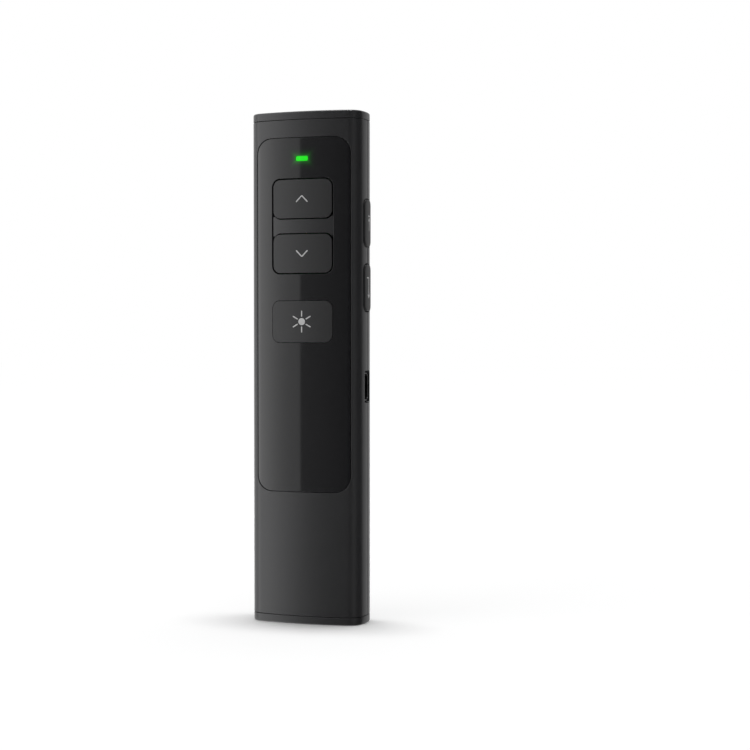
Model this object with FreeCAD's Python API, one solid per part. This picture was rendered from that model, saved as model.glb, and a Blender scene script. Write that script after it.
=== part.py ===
import FreeCAD, Part
import math
import os

# A slim wireless presentation clicker, standing on its bottom end. Sizes are in millimetres.
# +Z runs along its length, the keys look towards -Y, and the right side with the port is +X.
# The origin is the middle of the bottom end. A drop is a height measured down from the top end.

# Case: a front and a rear shell that meet on the seam plane, the rear one with an inner lip
LENGTH = 135.0
HALF_WIDTH = 15.65
HALF_DEPTH = 7.25
FACE_RADIUS = 63.0
SIDE_RADIUS = 14.5
CORNER_RADIUS = 3.9
WALL = 1.6
SEAM_Y = 0.5
SEAM_GAP = 0.12
LIP_WIDTH = 0.7
LIP_HEIGHT = 1.0
LIP_FIT = 0.05
RIB_THICKNESS = 0.8
RIB_HEIGHT = 1.1
FRONT_RIBS = 4

# End caps: a band flush with the case and a skirt that plugs into the shells
CAP_BAND = 2.1
CAP_EDGE = 0.45
CAP_FIT = 0.06
SKIRT_WALL = 1.2
SKIRT_DEPTH = 3.0

# Front panel: a glossy overlay glued into a recess of the front shell
PANEL_MARGIN = 2.65
PANEL_TOP_DROP = 7.0
PANEL_BOTTOM = 35.1
PANEL_CORNER = 4.2
PANEL_THICKNESS = 0.8
PANEL_GAP = 0.12
PANEL_GLUE = 0.03

# Front keys: hollow caps with a flange behind the shell and a stem on the switch
KEY_CORNER = 2.0
KEY_EDGE = 0.25
KEY_TRAVEL = 0.35
KEY_SKIN = 1.1
KEY_RIM = 1.2
KEY_FLANGE = 0.9
FLANGE_THICKNESS = 0.6
FLANGE_GAP = 0.05
STEM_HALF = 1.4
STEM_GAP = 0.05
PAGE_KEY_MARGIN = 4.75
PAGE_KEY_HEIGHT = 10.15
PAGE_KEY_GAP = 0.35
PAGE_KEY_PROUD = 0.0
PAGE_UP_DROP = 17.85
PAGE_KEY_SPACING = 4.2
LASER_KEY_MARGIN = 4.6
LASER_KEY_HEIGHT = 10.9
LASER_KEY_GAP = 0.2
LASER_KEY_PROUD = 0.2
LASER_KEY_SPACING = 7.35

# Side keys: two alike on the right side, with a bridge of the case between them
SIDE_KEY_LENGTH = 12.3
SIDE_KEY_HALF_WIDTH = 2.7
SIDE_KEY_CORNER = 1.7
SIDE_KEY_GAP = 0.25
SIDE_KEY_PROUD = 0.3
SIDE_KEY_TRAVEL = 0.3
SIDE_KEY_FLANGE = 0.5
SIDE_STEM_GAP = 0.12
SIDE_KEY_SPACING = 4.75
TAB_KEY_DROP = 23.05
BRIDGE_SLIT = 0.5
BRIDGE_SLIT_DEPTH = 1.0

# Power slider: a ribbed knob in a round-ended slot, with a carriage behind the wall
POWER_SLOT_DROP = 37.5
POWER_SLOT_LENGTH = 13.5
POWER_SLOT_HALF_WIDTH = 1.75
POWER_TRAVEL = 1.8
KNOB_GAP = 0.2
KNOB_PROUD = 0.3
GRIP_PITCH = 0.8
GRIP_DEPTH = 0.15
GRIP_LENGTH_SHARE = 0.6
CARRIAGE_THICKNESS = 0.8
CARRIAGE_COVER = 0.8
SOCKET_WALL = 0.8
SOCKET_DEPTH = 1.0
LEVER_FIT = 0.08

# Circuit board and the screws that hold it on bosses of the front shell
BOARD_REAR = -1.0
BOARD_THICKNESS = 1.0
BOARD_MARGIN = 3.35
BOARD_TOP_DROP = 10.8
BOARD_FOOT_GAP = 3.7
SCREW_INSET = 2.4
SCREW_RADIUS = 0.7
SCREW_FIT = 0.03
SCREW_CLEARANCE = 0.1
SCREW_HEAD_RADIUS = 1.25
SCREW_HEAD_HEIGHT = 0.7
SCREW_REACH = 2.2
BOSS_RADIUS = 1.6

# Switches on the board: under the front keys, beside the side keys, and behind the slider
KEY_SWITCH_HALF = 2.25
KEY_SWITCH_HEIGHT = 1.5
PLUNGER_HALF = 0.9
PLUNGER_PROUD = 0.7
PLUNGER_DEPTH = 0.6
PLUNGER_FIT = 0.05
SIDE_SWITCH_HEIGHT = 3.2
SIDE_SWITCH_DEPTH = 3.5
SIDE_SWITCH_HALF = 3.0
SIDE_PLUNGER_HALF = 0.8
SIDE_PLUNGER_PROUD = 0.65
POWER_SWITCH_HALF = 4.3
POWER_SWITCH_DEPTH = 3.6
POWER_SWITCH_HEIGHT = 3.0
POWER_SWITCH_GAP = 0.25
LEVER_HALF_LENGTH = 0.75
LEVER_HALF_WIDTH = 0.5
LEVER_PROUD = 1.4
LEVER_DEPTH = 1.2

# Indicator: a light pipe through the panel and the lamp behind it
LIGHT_DROP = 12.4
LIGHT_HALF_LENGTH = 1.7
LIGHT_HALF_HEIGHT = 0.7
LIGHT_FIT = 0.05
LIGHT_FLANGE = 0.5
LIGHT_INSET = 0.05
LAMP_HALF_LENGTH = 0.8
LAMP_HALF_HEIGHT = 0.4
LAMP_THICKNESS = 0.65
LAMP_GAP = 0.1

# Charge port: a round-ended hole in the side and the metal socket behind it
PORT_HEIGHT_SHARE = 0.4644
PORT_HOLE_HALF_LENGTH = 4.25
PORT_HOLE_HALF_WIDTH = 1.9
PORT_HALF_LENGTH = 3.7
PORT_NARROW_HALF = 3.0
PORT_HEIGHT = 2.8
PORT_SHOULDER = 1.8
PORT_CORNER = 0.4
PORT_METAL = 0.3
PORT_DEPTH = 5.8
PORT_RECESS = 0.25
PORT_PLUG_DEPTH = 1.4
PORT_FIT = 0.02
TONGUE_HALF = 1.9
TONGUE_THICKNESS = 0.6
TONGUE_RISE = 0.85
TONGUE_RECESS = 0.6

# Laser module in a collar under the top cap
LASER_RADIUS = 3.0
LASER_BORE = 2.2
LASER_LENGTH = 8.0
LASER_FIT = 0.05
LASER_SEAT = 0.8
WINDOW_THICKNESS = 0.8
WINDOW_GAP = 0.1
APERTURE_RADIUS = 1.9
COLLAR_WALL = 1.0
COLLAR_LENGTH = 6.0
LENS_THICKNESS = 1.4
LENS_SETBACK = 0.2
DIODE_RADIUS = 1.7
DIODE_LENGTH = 2.4
DIODE_FLANGE = 1.2
DIODE_SETBACK = 0.6
DIODE_PIN_HALF = 0.22
DIODE_PIN_SPREAD = 0.7
DIODE_PIN_REACH = 2.4

# Battery, its guard circuit and leads, and the chips on the rear of the board
BATTERY_MARGIN = 4.65
BATTERY_THICKNESS = 5.0
BATTERY_EDGE = 1.2
BATTERY_GAP = 2.2
TAPE_THICKNESS = 0.3
TAPE_MARGIN = 3.0
GUARD_HALF_WIDTH = 8.0
GUARD_THICKNESS = 1.2
GUARD_HEIGHT = 1.6
LEAD_RADIUS = 0.45
LEAD_SPREAD = 1.2
LEAD_RISE = 2.6
LEAD_SINK = 0.3
POCKET_GAP = 0.3
POCKET_REACH = 1.5
RADIO_CHIP_HALF = 2.5
RADIO_CHIP_HEIGHT = 0.85
RADIO_CHIP_RISE = 11.0
CRYSTAL_HALF_LENGTH = 1.6
CRYSTAL_HALF_WIDTH = 1.25
CRYSTAL_HEIGHT = 0.8
CRYSTAL_SIDE = 6.0

# Receiver, which parks in a bay of the bottom cap and slides out downwards
GRIP_HALF_WIDTH = 7.4
GRIP_HALF_DEPTH = 3.1
GRIP_LENGTH = 6.5
GRIP_RECESS = 0.3
GRIP_CORNER = 1.2
GROOVE_DEPTH = 0.4
GROOVE_RISE = 0.7
GROOVE_HEIGHT = 0.8
GROOVE_HALF_LENGTH = 4.0
PLUG_HALF_WIDTH = 6.0
PLUG_HALF_DEPTH = 2.25
PLUG_CORNER = 0.5
PLUG_LENGTH = 12.0
PLUG_METAL = 0.3
PLUG_HOLE_HALF = 1.1
PLUG_HOLE_SPREAD = 2.8
PLUG_HOLE_RISE = 6.4
PLUG_FIT = 0.02
PLUG_TONGUE_THICKNESS = 1.9
PLUG_TONGUE_SETBACK = 0.4
CONTACT_COUNT = 4
CONTACT_HALF_WIDTH = 0.5
CONTACT_PITCH = 2.3
CONTACT_THICKNESS = 0.12
CONTACT_LENGTH = 7.5
BAY_CLEARANCE = 0.15
BAY_WALL = 1.0
BAY_END_GAP = 0.4
SCOOP_RADIUS = 4.5
SCOOP_HEIGHT = 1.3

# How far a cutting tool runs past what it cuts, and the shortest edge worth drawing
OVERRUN = 3.0
SHORTEST_EDGE = 0.001

# Places that follow from the sizes above
SHELL_BOTTOM = CAP_BAND + SEAM_GAP
SHELL_TOP = LENGTH - CAP_BAND - SEAM_GAP
PANEL_TOP = LENGTH - PANEL_TOP_DROP
PANEL_HALF_WIDTH = HALF_WIDTH - PANEL_MARGIN
PAGE_KEY_HALF_WIDTH = PANEL_HALF_WIDTH - PAGE_KEY_MARGIN
LASER_KEY_HALF_WIDTH = PANEL_HALF_WIDTH - LASER_KEY_MARGIN
PAGE_UP_TOP = LENGTH - PAGE_UP_DROP
PAGE_UP_BOTTOM = PAGE_UP_TOP - PAGE_KEY_HEIGHT
PAGE_DOWN_TOP = PAGE_UP_BOTTOM - PAGE_KEY_SPACING
PAGE_DOWN_BOTTOM = PAGE_DOWN_TOP - PAGE_KEY_HEIGHT
LASER_KEY_TOP = PAGE_DOWN_BOTTOM - LASER_KEY_SPACING
LASER_KEY_BOTTOM = LASER_KEY_TOP - LASER_KEY_HEIGHT
TAB_KEY_Z = LENGTH - TAB_KEY_DROP - SIDE_KEY_LENGTH / 2
ENTER_KEY_Z = TAB_KEY_Z - SIDE_KEY_LENGTH - SIDE_KEY_SPACING
POWER_SLOT_Z = LENGTH - POWER_SLOT_DROP
POWER_ON_Z = POWER_SLOT_Z + POWER_TRAVEL / 2
KNOB_HALF_LENGTH = POWER_SLOT_LENGTH / 2 - POWER_TRAVEL / 2 - KNOB_GAP
LIGHT_Z = LENGTH - LIGHT_DROP
PORT_Z = LENGTH * PORT_HEIGHT_SHARE
PORT_Y = BOARD_REAR + PORT_HEIGHT / 2
PORT_MOUTH = HALF_WIDTH - PORT_RECESS
PORT_BACK = PORT_MOUTH - PORT_DEPTH
PLUG_BOTTOM = GRIP_RECESS + GRIP_LENGTH
BAY_TOP = PLUG_BOTTOM + PLUG_LENGTH + BAY_END_GAP
BOARD_FRONT = BOARD_REAR - BOARD_THICKNESS
BOARD_HALF_WIDTH = HALF_WIDTH - BOARD_MARGIN
BOARD_BOTTOM = BAY_TOP + BAY_WALL + BOARD_FOOT_GAP
BOARD_TOP = LENGTH - BOARD_TOP_DROP
SCREW_X = BOARD_HALF_WIDTH - SCREW_INSET
SCREW_LOW = BOARD_BOTTOM + SCREW_INSET
SCREW_HIGH = BOARD_TOP - SCREW_INSET
BATTERY_HALF_WIDTH = HALF_WIDTH - BATTERY_MARGIN
BATTERY_BOTTOM = SCREW_LOW + BATTERY_GAP
BATTERY_TOP = PORT_Z - PORT_HOLE_HALF_LENGTH - BATTERY_GAP
BATTERY_FRONT = BOARD_REAR + TAPE_THICKNESS
BATTERY_REAR = BATTERY_FRONT + BATTERY_THICKNESS
BATTERY_MIDDLE = BATTERY_FRONT + BATTERY_THICKNESS / 2
RADIO_CHIP_Z = PORT_Z + RADIO_CHIP_RISE
KEY_SWITCH_FACE = BOARD_FRONT - KEY_SWITCH_HEIGHT
PLUNGER_TIP = KEY_SWITCH_FACE - PLUNGER_PROUD
FLANGE_INSET = WALL + FLANGE_GAP
SIDE_KEY_BACK = HALF_WIDTH - FLANGE_INSET - FLANGE_THICKNESS
SIDE_PLUNGER_TIP = SIDE_KEY_BACK - SIDE_STEM_GAP
SIDE_SWITCH_FACE = SIDE_PLUNGER_TIP - SIDE_PLUNGER_PROUD
CARRIAGE_BACK = HALF_WIDTH - FLANGE_INSET - CARRIAGE_THICKNESS
SOCKET_BACK = CARRIAGE_BACK - SOCKET_DEPTH
POWER_SWITCH_FACE = SOCKET_BACK - POWER_SWITCH_GAP
LEVER_TIP = POWER_SWITCH_FACE + LEVER_PROUD
LEVER_Y = BOARD_REAR + POWER_SWITCH_HEIGHT / 2
WINDOW_TOP = LENGTH - LASER_SEAT - WINDOW_GAP
LASER_TOP = WINDOW_TOP - WINDOW_THICKNESS - WINDOW_GAP
LASER_BOTTOM = LASER_TOP - LASER_LENGTH

# Half way through the wall that is left behind the panel: ribs and bosses are rooted there
ROOT_INSET = (WALL + PANEL_THICKNESS) / 2

# The board is screwed down at two opposite corners and rests on plain posts at the other two
SCREW_PLACES = [(-SCREW_X, SCREW_HIGH), (SCREW_X, SCREW_LOW)]
REST_PLACES = [(SCREW_X, SCREW_HIGH), (-SCREW_X, SCREW_LOW)]

X_AXIS = FreeCAD.Vector(1, 0, 0)
Y_AXIS = FreeCAD.Vector(0, 1, 0)
Z_AXIS = FreeCAD.Vector(0, 0, 1)
at = FreeCAD.Vector


def box(low, high):
    size = high - low
    return Part.makeBox(size.x, size.y, size.z, low)


def joined(first, *others):
    return first.fuse(list(others)).removeSplitter()


def rod(radius, start, run):
    return Part.makeCylinder(radius, run.Length, start, run)


def rounded_bar(centre, side_u, half_u, side_v, half_v, corner, run):
    """A rounded rectangle about centre, its sides along two unit vectors, pushed out along run."""
    sides = [side_u, side_v, side_u * -1, side_v * -1]
    halves = [half_u, half_v, half_u, half_v]
    arcs = []
    for turn in range(4):
        after = (turn + 1) % 4
        hub = centre + sides[turn] * (halves[turn] - corner) + sides[after] * (halves[after] - corner)
        middle = (sides[turn] + sides[after]) * math.sqrt(0.5)
        arcs.append([hub + sides[turn] * corner, hub + middle * corner, hub + sides[after] * corner])
    edges = []
    for arc, following in zip(arcs, arcs[1:] + arcs[:1]):
        edges.append(Part.Arc(*arc).toShape())
        if arc[2].distanceToPoint(following[0]) > SHORTEST_EDGE:
            edges.append(Part.makeLine(arc[2], following[0]))
    return Part.Face(Part.Wire(edges)).extrude(run)


def case_outline(inset):
    """The case's cross-section moved in by inset: bowed faces and sides that meet in round corners."""
    face_y = FACE_RADIUS - HALF_DEPTH
    side_x = HALF_WIDTH - SIDE_RADIUS
    to_face = FACE_RADIUS - CORNER_RADIUS
    to_side = SIDE_RADIUS - CORNER_RADIUS
    apart = math.hypot(side_x, face_y)
    along = (to_face ** 2 - to_side ** 2 + apart ** 2) / (2 * apart)
    across = math.sqrt(to_face ** 2 - along ** 2)
    corner_x = (along * side_x + across * face_y) / apart
    corner_y = face_y - (along * face_y - across * side_x) / apart

    # The corner at +X -Y: where its arc leaves the face, its middle, and where it meets the side
    face_turn = math.atan2(corner_x, face_y - corner_y)
    side_turn = math.atan2(corner_x - side_x, -corner_y)
    radius = CORNER_RADIUS - inset
    turns = [face_turn, (face_turn + side_turn) / 2, side_turn]
    arc = [(corner_x + radius * math.sin(turn), corner_y - radius * math.cos(turn)) for turn in turns]
    corners = [[at(sx * x, sy * y, 0) for x, y in arc] for sx, sy in [(1, 1), (1, -1), (-1, -1), (-1, 1)]]
    corners[1].reverse()
    corners[3].reverse()
    middles = [
        at(HALF_WIDTH - inset, 0, 0),
        at(0, HALF_DEPTH - inset, 0),
        at(inset - HALF_WIDTH, 0, 0),
        at(0, inset - HALF_DEPTH, 0),
    ]
    edges = []
    for corner, middle, following in zip(corners, middles, corners[1:] + corners[:1]):
        edges.append(Part.Arc(*corner).toShape())
        edges.append(Part.Arc(corner[2], middle, following[0]).toShape())
    return Part.Wire(edges)


def case_block(inset, bottom, top):
    face = Part.Face(case_outline(inset))
    face.translate(at(0, 0, bottom))
    return face.extrude(at(0, 0, top - bottom))


def case_ring(outer_inset, inner_inset, bottom, top):
    return case_block(outer_inset, bottom, top).cut(case_block(inner_inset, bottom, top))


def case_slab(low_y, high_y):
    """All of the case between two planes across its depth."""
    reach = HALF_WIDTH + OVERRUN
    return box(at(-reach, low_y, -OVERRUN), at(reach, high_y, LENGTH + OVERRUN))


def front_bar(half_width, bottom, top, corner, rear_y=0):
    """A rounded bar that runs in through the front face, back to rear_y."""
    start = at(0, -HALF_DEPTH - OVERRUN, (bottom + top) / 2)
    run = at(0, rear_y - start.y, 0)
    return rounded_bar(start, X_AXIS, half_width, Z_AXIS, (top - bottom) / 2, corner, run)


def front_block(half_width, bottom, top, rear_y=0):
    """As front_bar, with square corners."""
    return box(at(-half_width, -HALF_DEPTH - OVERRUN, bottom), at(half_width, rear_y, top))


def side_bar(side, y, z, half_width, half_length, corner):
    """A rounded bar that runs in through the wall of one side: 1 is the right side, -1 the left."""
    start = at(side * (HALF_WIDTH + OVERRUN), y, z)
    run = at(-side * (OVERRUN + WALL + OVERRUN), 0, 0)
    return rounded_bar(start, Y_AXIS, half_width, Z_AXIS, half_length, corner, run)


def shell_skin():
    return case_ring(0, WALL, SHELL_BOTTOM, SHELL_TOP)


def side_openings():
    """The holes in the side walls, which straddle the seam: two keys, the port and the slider."""
    tools = []
    for key_z in [TAB_KEY_Z, ENTER_KEY_Z]:
        tools.append(side_bar(
            1, SEAM_Y, key_z,
            SIDE_KEY_HALF_WIDTH + SIDE_KEY_GAP,
            SIDE_KEY_LENGTH / 2 + SIDE_KEY_GAP,
            SIDE_KEY_CORNER + SIDE_KEY_GAP,
        ))
    tools.append(side_bar(
        1, PORT_Y, PORT_Z, PORT_HOLE_HALF_WIDTH, PORT_HOLE_HALF_LENGTH, PORT_HOLE_HALF_WIDTH))
    tools.append(side_bar(
        -1, SEAM_Y, POWER_SLOT_Z, POWER_SLOT_HALF_WIDTH, POWER_SLOT_LENGTH / 2, POWER_SLOT_HALF_WIDTH))
    return tools


def front_openings():
    """The three key holes and the indicator hole through the wall behind the panel."""
    tools = []
    for bottom, top in [(PAGE_UP_BOTTOM, PAGE_UP_TOP), (PAGE_DOWN_BOTTOM, PAGE_DOWN_TOP)]:
        tools.append(front_bar(
            PAGE_KEY_HALF_WIDTH + PAGE_KEY_GAP,
            bottom - PAGE_KEY_GAP,
            top + PAGE_KEY_GAP,
            KEY_CORNER + PAGE_KEY_GAP,
        ))
    tools.append(laser_key_opening())
    tools.append(light_opening())
    return tools


def laser_key_opening():
    return front_bar(
        LASER_KEY_HALF_WIDTH + LASER_KEY_GAP,
        LASER_KEY_BOTTOM - LASER_KEY_GAP,
        LASER_KEY_TOP + LASER_KEY_GAP,
        KEY_CORNER + LASER_KEY_GAP,
    )


def light_opening():
    half_height = LIGHT_HALF_HEIGHT + LIGHT_FIT
    return front_bar(
        LIGHT_HALF_LENGTH + LIGHT_FIT, LIGHT_Z - half_height, LIGHT_Z + half_height, half_height)


def front_shell():
    shell = shell_skin().common(case_slab(-HALF_DEPTH - OVERRUN, SEAM_Y - SEAM_GAP / 2))

    # Rebate that takes the rear shell's lip
    rebate_depth = SEAM_Y - LIP_HEIGHT - LIP_FIT
    rebate = case_block(WALL - LIP_WIDTH - LIP_FIT, SHELL_BOTTOM, SHELL_TOP)
    shell = shell.cut(rebate.common(case_slab(rebate_depth, SEAM_Y)))

    # Bosses that carry the board, and stiffening ribs between the lower screws and the laser key
    room = case_block(ROOT_INSET, SHELL_BOTTOM, SHELL_TOP)
    posts = [
        rod(BOSS_RADIUS, at(x, BOARD_FRONT, z), at(0, -HALF_DEPTH - BOARD_FRONT, 0))
        for x, z in SCREW_PLACES
    ]
    posts += [
        box(at(x - BOSS_RADIUS, -HALF_DEPTH, z - RIB_THICKNESS / 2),
            at(x + BOSS_RADIUS, BOARD_FRONT, z + RIB_THICKNESS / 2))
        for x, z in REST_PLACES
    ]
    pitch = (LASER_KEY_BOTTOM - KEY_FLANGE - SCREW_LOW) / (FRONT_RIBS + 1)
    for number in range(1, FRONT_RIBS + 1):
        low = SCREW_LOW + number * pitch
        posts.append(box(
            at(-HALF_WIDTH, -HALF_DEPTH, low),
            at(HALF_WIDTH, -HALF_DEPTH + WALL + RIB_HEIGHT, low + RIB_THICKNESS),
        ))
    shell = joined(shell, *[post.common(room) for post in posts])

    # Panel recess, key holes, indicator hole, side holes and the pilot holes of the screws
    recess = case_ring(-OVERRUN, PANEL_THICKNESS, SHELL_BOTTOM, SHELL_TOP).common(front_bar(
        PANEL_HALF_WIDTH + PANEL_GAP,
        PANEL_BOTTOM - PANEL_GAP,
        PANEL_TOP + PANEL_GAP,
        PANEL_CORNER + PANEL_GAP,
    ))
    pilots = [
        rod(SCREW_RADIUS + SCREW_FIT, at(x, BOARD_FRONT, z), at(0, -SCREW_REACH - SCREW_CLEARANCE, 0))
        for x, z in SCREW_PLACES
    ]
    return shell.cut([recess] + front_openings() + side_openings() + pilots)


def rear_shell():
    shell = shell_skin().common(case_slab(SEAM_Y + SEAM_GAP / 2, HALF_DEPTH + OVERRUN))
    lip = case_ring(WALL - LIP_WIDTH, WALL, SHELL_BOTTOM, SHELL_TOP)
    lip = lip.common(case_slab(SEAM_Y - LIP_HEIGHT, SEAM_Y + LIP_HEIGHT))

    # Ribs that fence the battery on its two sides, below it and above its guard circuit
    room = case_block(ROOT_INSET, SHELL_BOTTOM, SHELL_TOP)
    edge = BATTERY_REAR - POCKET_REACH
    fence = BATTERY_HALF_WIDTH + POCKET_GAP
    outside = fence + RIB_THICKNESS
    low = BATTERY_BOTTOM - POCKET_GAP
    high = BATTERY_TOP + GUARD_HEIGHT + POCKET_GAP
    ribs = [
        box(at(fence, edge, low), at(outside, HALF_DEPTH, high)),
        box(at(-outside, edge, low), at(-fence, HALF_DEPTH, high)),
        box(at(-outside, edge, low - RIB_THICKNESS), at(outside, HALF_DEPTH, low)),
        box(at(-outside, edge, high), at(outside, HALF_DEPTH, high + RIB_THICKNESS)),
    ]
    shell = joined(shell, lip, *[rib.common(room) for rib in ribs])

    # The slit behind the bridge between the two side keys
    slit_bottom = ENTER_KEY_Z + SIDE_KEY_LENGTH / 2 + SIDE_KEY_GAP
    slit_top = TAB_KEY_Z - SIDE_KEY_LENGTH / 2 - SIDE_KEY_GAP
    slit = box(
        at(HALF_WIDTH - BRIDGE_SLIT_DEPTH, SEAM_Y, slit_bottom),
        at(HALF_WIDTH + OVERRUN, SEAM_Y + BRIDGE_SLIT, slit_top),
    )
    return shell.cut(side_openings() + [slit])


def front_panel():
    overlay = case_ring(0, PANEL_THICKNESS - PANEL_GLUE, PANEL_BOTTOM, PANEL_TOP).common(
        front_bar(PANEL_HALF_WIDTH, PANEL_BOTTOM, PANEL_TOP, PANEL_CORNER))
    page_window = front_bar(
        PAGE_KEY_HALF_WIDTH + PAGE_KEY_GAP,
        PAGE_DOWN_BOTTOM - PAGE_KEY_GAP,
        PAGE_UP_TOP + PAGE_KEY_GAP,
        KEY_CORNER + PAGE_KEY_GAP,
    )
    return overlay.cut([page_window, laser_key_opening(), light_opening()])


def bevelled_rim(block, height):
    """Bevels the outer edges of a cap that lie in the plane at one height."""
    rim = [edge for edge in block.Edges if abs(edge.BoundBox.ZMin - height) < SHORTEST_EDGE
           and abs(edge.BoundBox.ZMax - height) < SHORTEST_EDGE]
    return block.makeChamfer(CAP_EDGE, rim)


def cap_skirt(bottom, top):
    return case_ring(WALL + CAP_FIT, WALL + CAP_FIT + SKIRT_WALL, bottom, top)


def top_cap():
    under = LENGTH - CAP_BAND
    band = bevelled_rim(case_block(0, under, LENGTH), LENGTH)
    bore_radius = LASER_RADIUS + LASER_FIT
    collar = rod(bore_radius + COLLAR_WALL, at(0, 0, under - COLLAR_LENGTH), at(0, 0, COLLAR_LENGTH))
    cap = joined(band, cap_skirt(under - SKIRT_DEPTH, under), collar)
    seat = LENGTH - LASER_SEAT
    bore = rod(bore_radius, at(0, 0, under - COLLAR_LENGTH), at(0, 0, seat - under + COLLAR_LENGTH))
    aperture = rod(APERTURE_RADIUS, at(0, 0, seat - OVERRUN), at(0, 0, OVERRUN + LASER_SEAT))
    return cap.cut([bore, aperture])


def bottom_cap():
    band = bevelled_rim(case_block(0, 0, CAP_BAND), 0)
    sleeve_half_width = GRIP_HALF_WIDTH + BAY_CLEARANCE + BAY_WALL
    sleeve_half_depth = GRIP_HALF_DEPTH + BAY_CLEARANCE + BAY_WALL
    sleeve = box(
        at(-sleeve_half_width, -sleeve_half_depth, CAP_BAND / 2),
        at(sleeve_half_width, sleeve_half_depth, BAY_TOP + BAY_WALL),
    )
    cap = joined(band, cap_skirt(CAP_BAND, CAP_BAND + SKIRT_DEPTH), sleeve)
    mouth = rounded_bar(
        at(0, 0, -OVERRUN),
        X_AXIS, GRIP_HALF_WIDTH + BAY_CLEARANCE,
        Y_AXIS, GRIP_HALF_DEPTH + BAY_CLEARANCE,
        GRIP_CORNER + BAY_CLEARANCE,
        at(0, 0, OVERRUN + PLUG_BOTTOM + BAY_CLEARANCE),
    )
    throat_half_width = PLUG_HALF_WIDTH + BAY_CLEARANCE
    throat_half_depth = PLUG_HALF_DEPTH + BAY_CLEARANCE
    throat = box(
        at(-throat_half_width, -throat_half_depth, 0),
        at(throat_half_width, throat_half_depth, BAY_TOP),
    )
    scoop = rod(
        SCOOP_RADIUS, at(0, GRIP_HALF_DEPTH, SCOOP_HEIGHT - SCOOP_RADIUS), at(0, HALF_DEPTH, 0))
    return cap.cut([mouth, throat, scoop])


def front_key(half_width, bottom, top, proud):
    """A key of the front face: hollow behind its skin, held by its flange, with a stem on a web."""
    middle = (bottom + top) / 2
    back_inset = FLANGE_INSET + FLANGE_THICKNESS
    body = case_ring(-proud, back_inset, bottom, top).common(
        front_bar(half_width, bottom, top, KEY_CORNER))
    outer_face = min(body.Faces, key=lambda face: face.CenterOfMass.y)
    body = body.makeChamfer(KEY_EDGE, outer_face.Edges)
    flange_bottom = bottom - KEY_FLANGE
    flange_top = top + KEY_FLANGE
    flange = case_ring(FLANGE_INSET, back_inset, flange_bottom, flange_top).common(
        front_block(half_width + KEY_FLANGE, flange_bottom, flange_top))
    hollow = case_block(KEY_SKIN - proud, bottom, top).common(
        front_block(half_width - KEY_RIM, bottom + KEY_RIM, top - KEY_RIM))
    shell = joined(body, flange).cut(hollow)

    # The stem reaches the switch, and the web ties it to the rim on both sides
    inside = case_block(KEY_SKIN / 2 - proud, bottom, top)
    stem = front_block(STEM_HALF, middle - STEM_HALF, middle + STEM_HALF, PLUNGER_TIP - STEM_GAP)
    half_web = RIB_THICKNESS / 2
    web = front_block(
        half_width - KEY_RIM / 2, middle - half_web, middle + half_web, back_inset - HALF_DEPTH)
    return joined(shell, stem.common(inside), web.common(inside))


def side_key(z):
    """A key of the right side, a little proud of it, held by a flange that rests on its switch."""
    back_inset = FLANGE_INSET + FLANGE_THICKNESS
    half_length = SIDE_KEY_LENGTH / 2
    flange_half = half_length + SIDE_KEY_FLANGE
    body = case_ring(-SIDE_KEY_PROUD, back_inset, z - half_length, z + half_length).common(
        side_bar(1, SEAM_Y, z, SIDE_KEY_HALF_WIDTH, half_length, SIDE_KEY_CORNER))
    outer_face = max(body.Faces, key=lambda face: face.CenterOfMass.x)
    body = body.makeChamfer(KEY_EDGE, outer_face.Edges)
    flange_half_width = SIDE_KEY_HALF_WIDTH + SIDE_KEY_FLANGE
    flange = case_ring(FLANGE_INSET, back_inset, z - flange_half, z + flange_half).common(box(
        at(0, SEAM_Y - flange_half_width, z - flange_half),
        at(HALF_WIDTH, SEAM_Y + flange_half_width, z + flange_half),
    ))
    return joined(body, flange)


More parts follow.
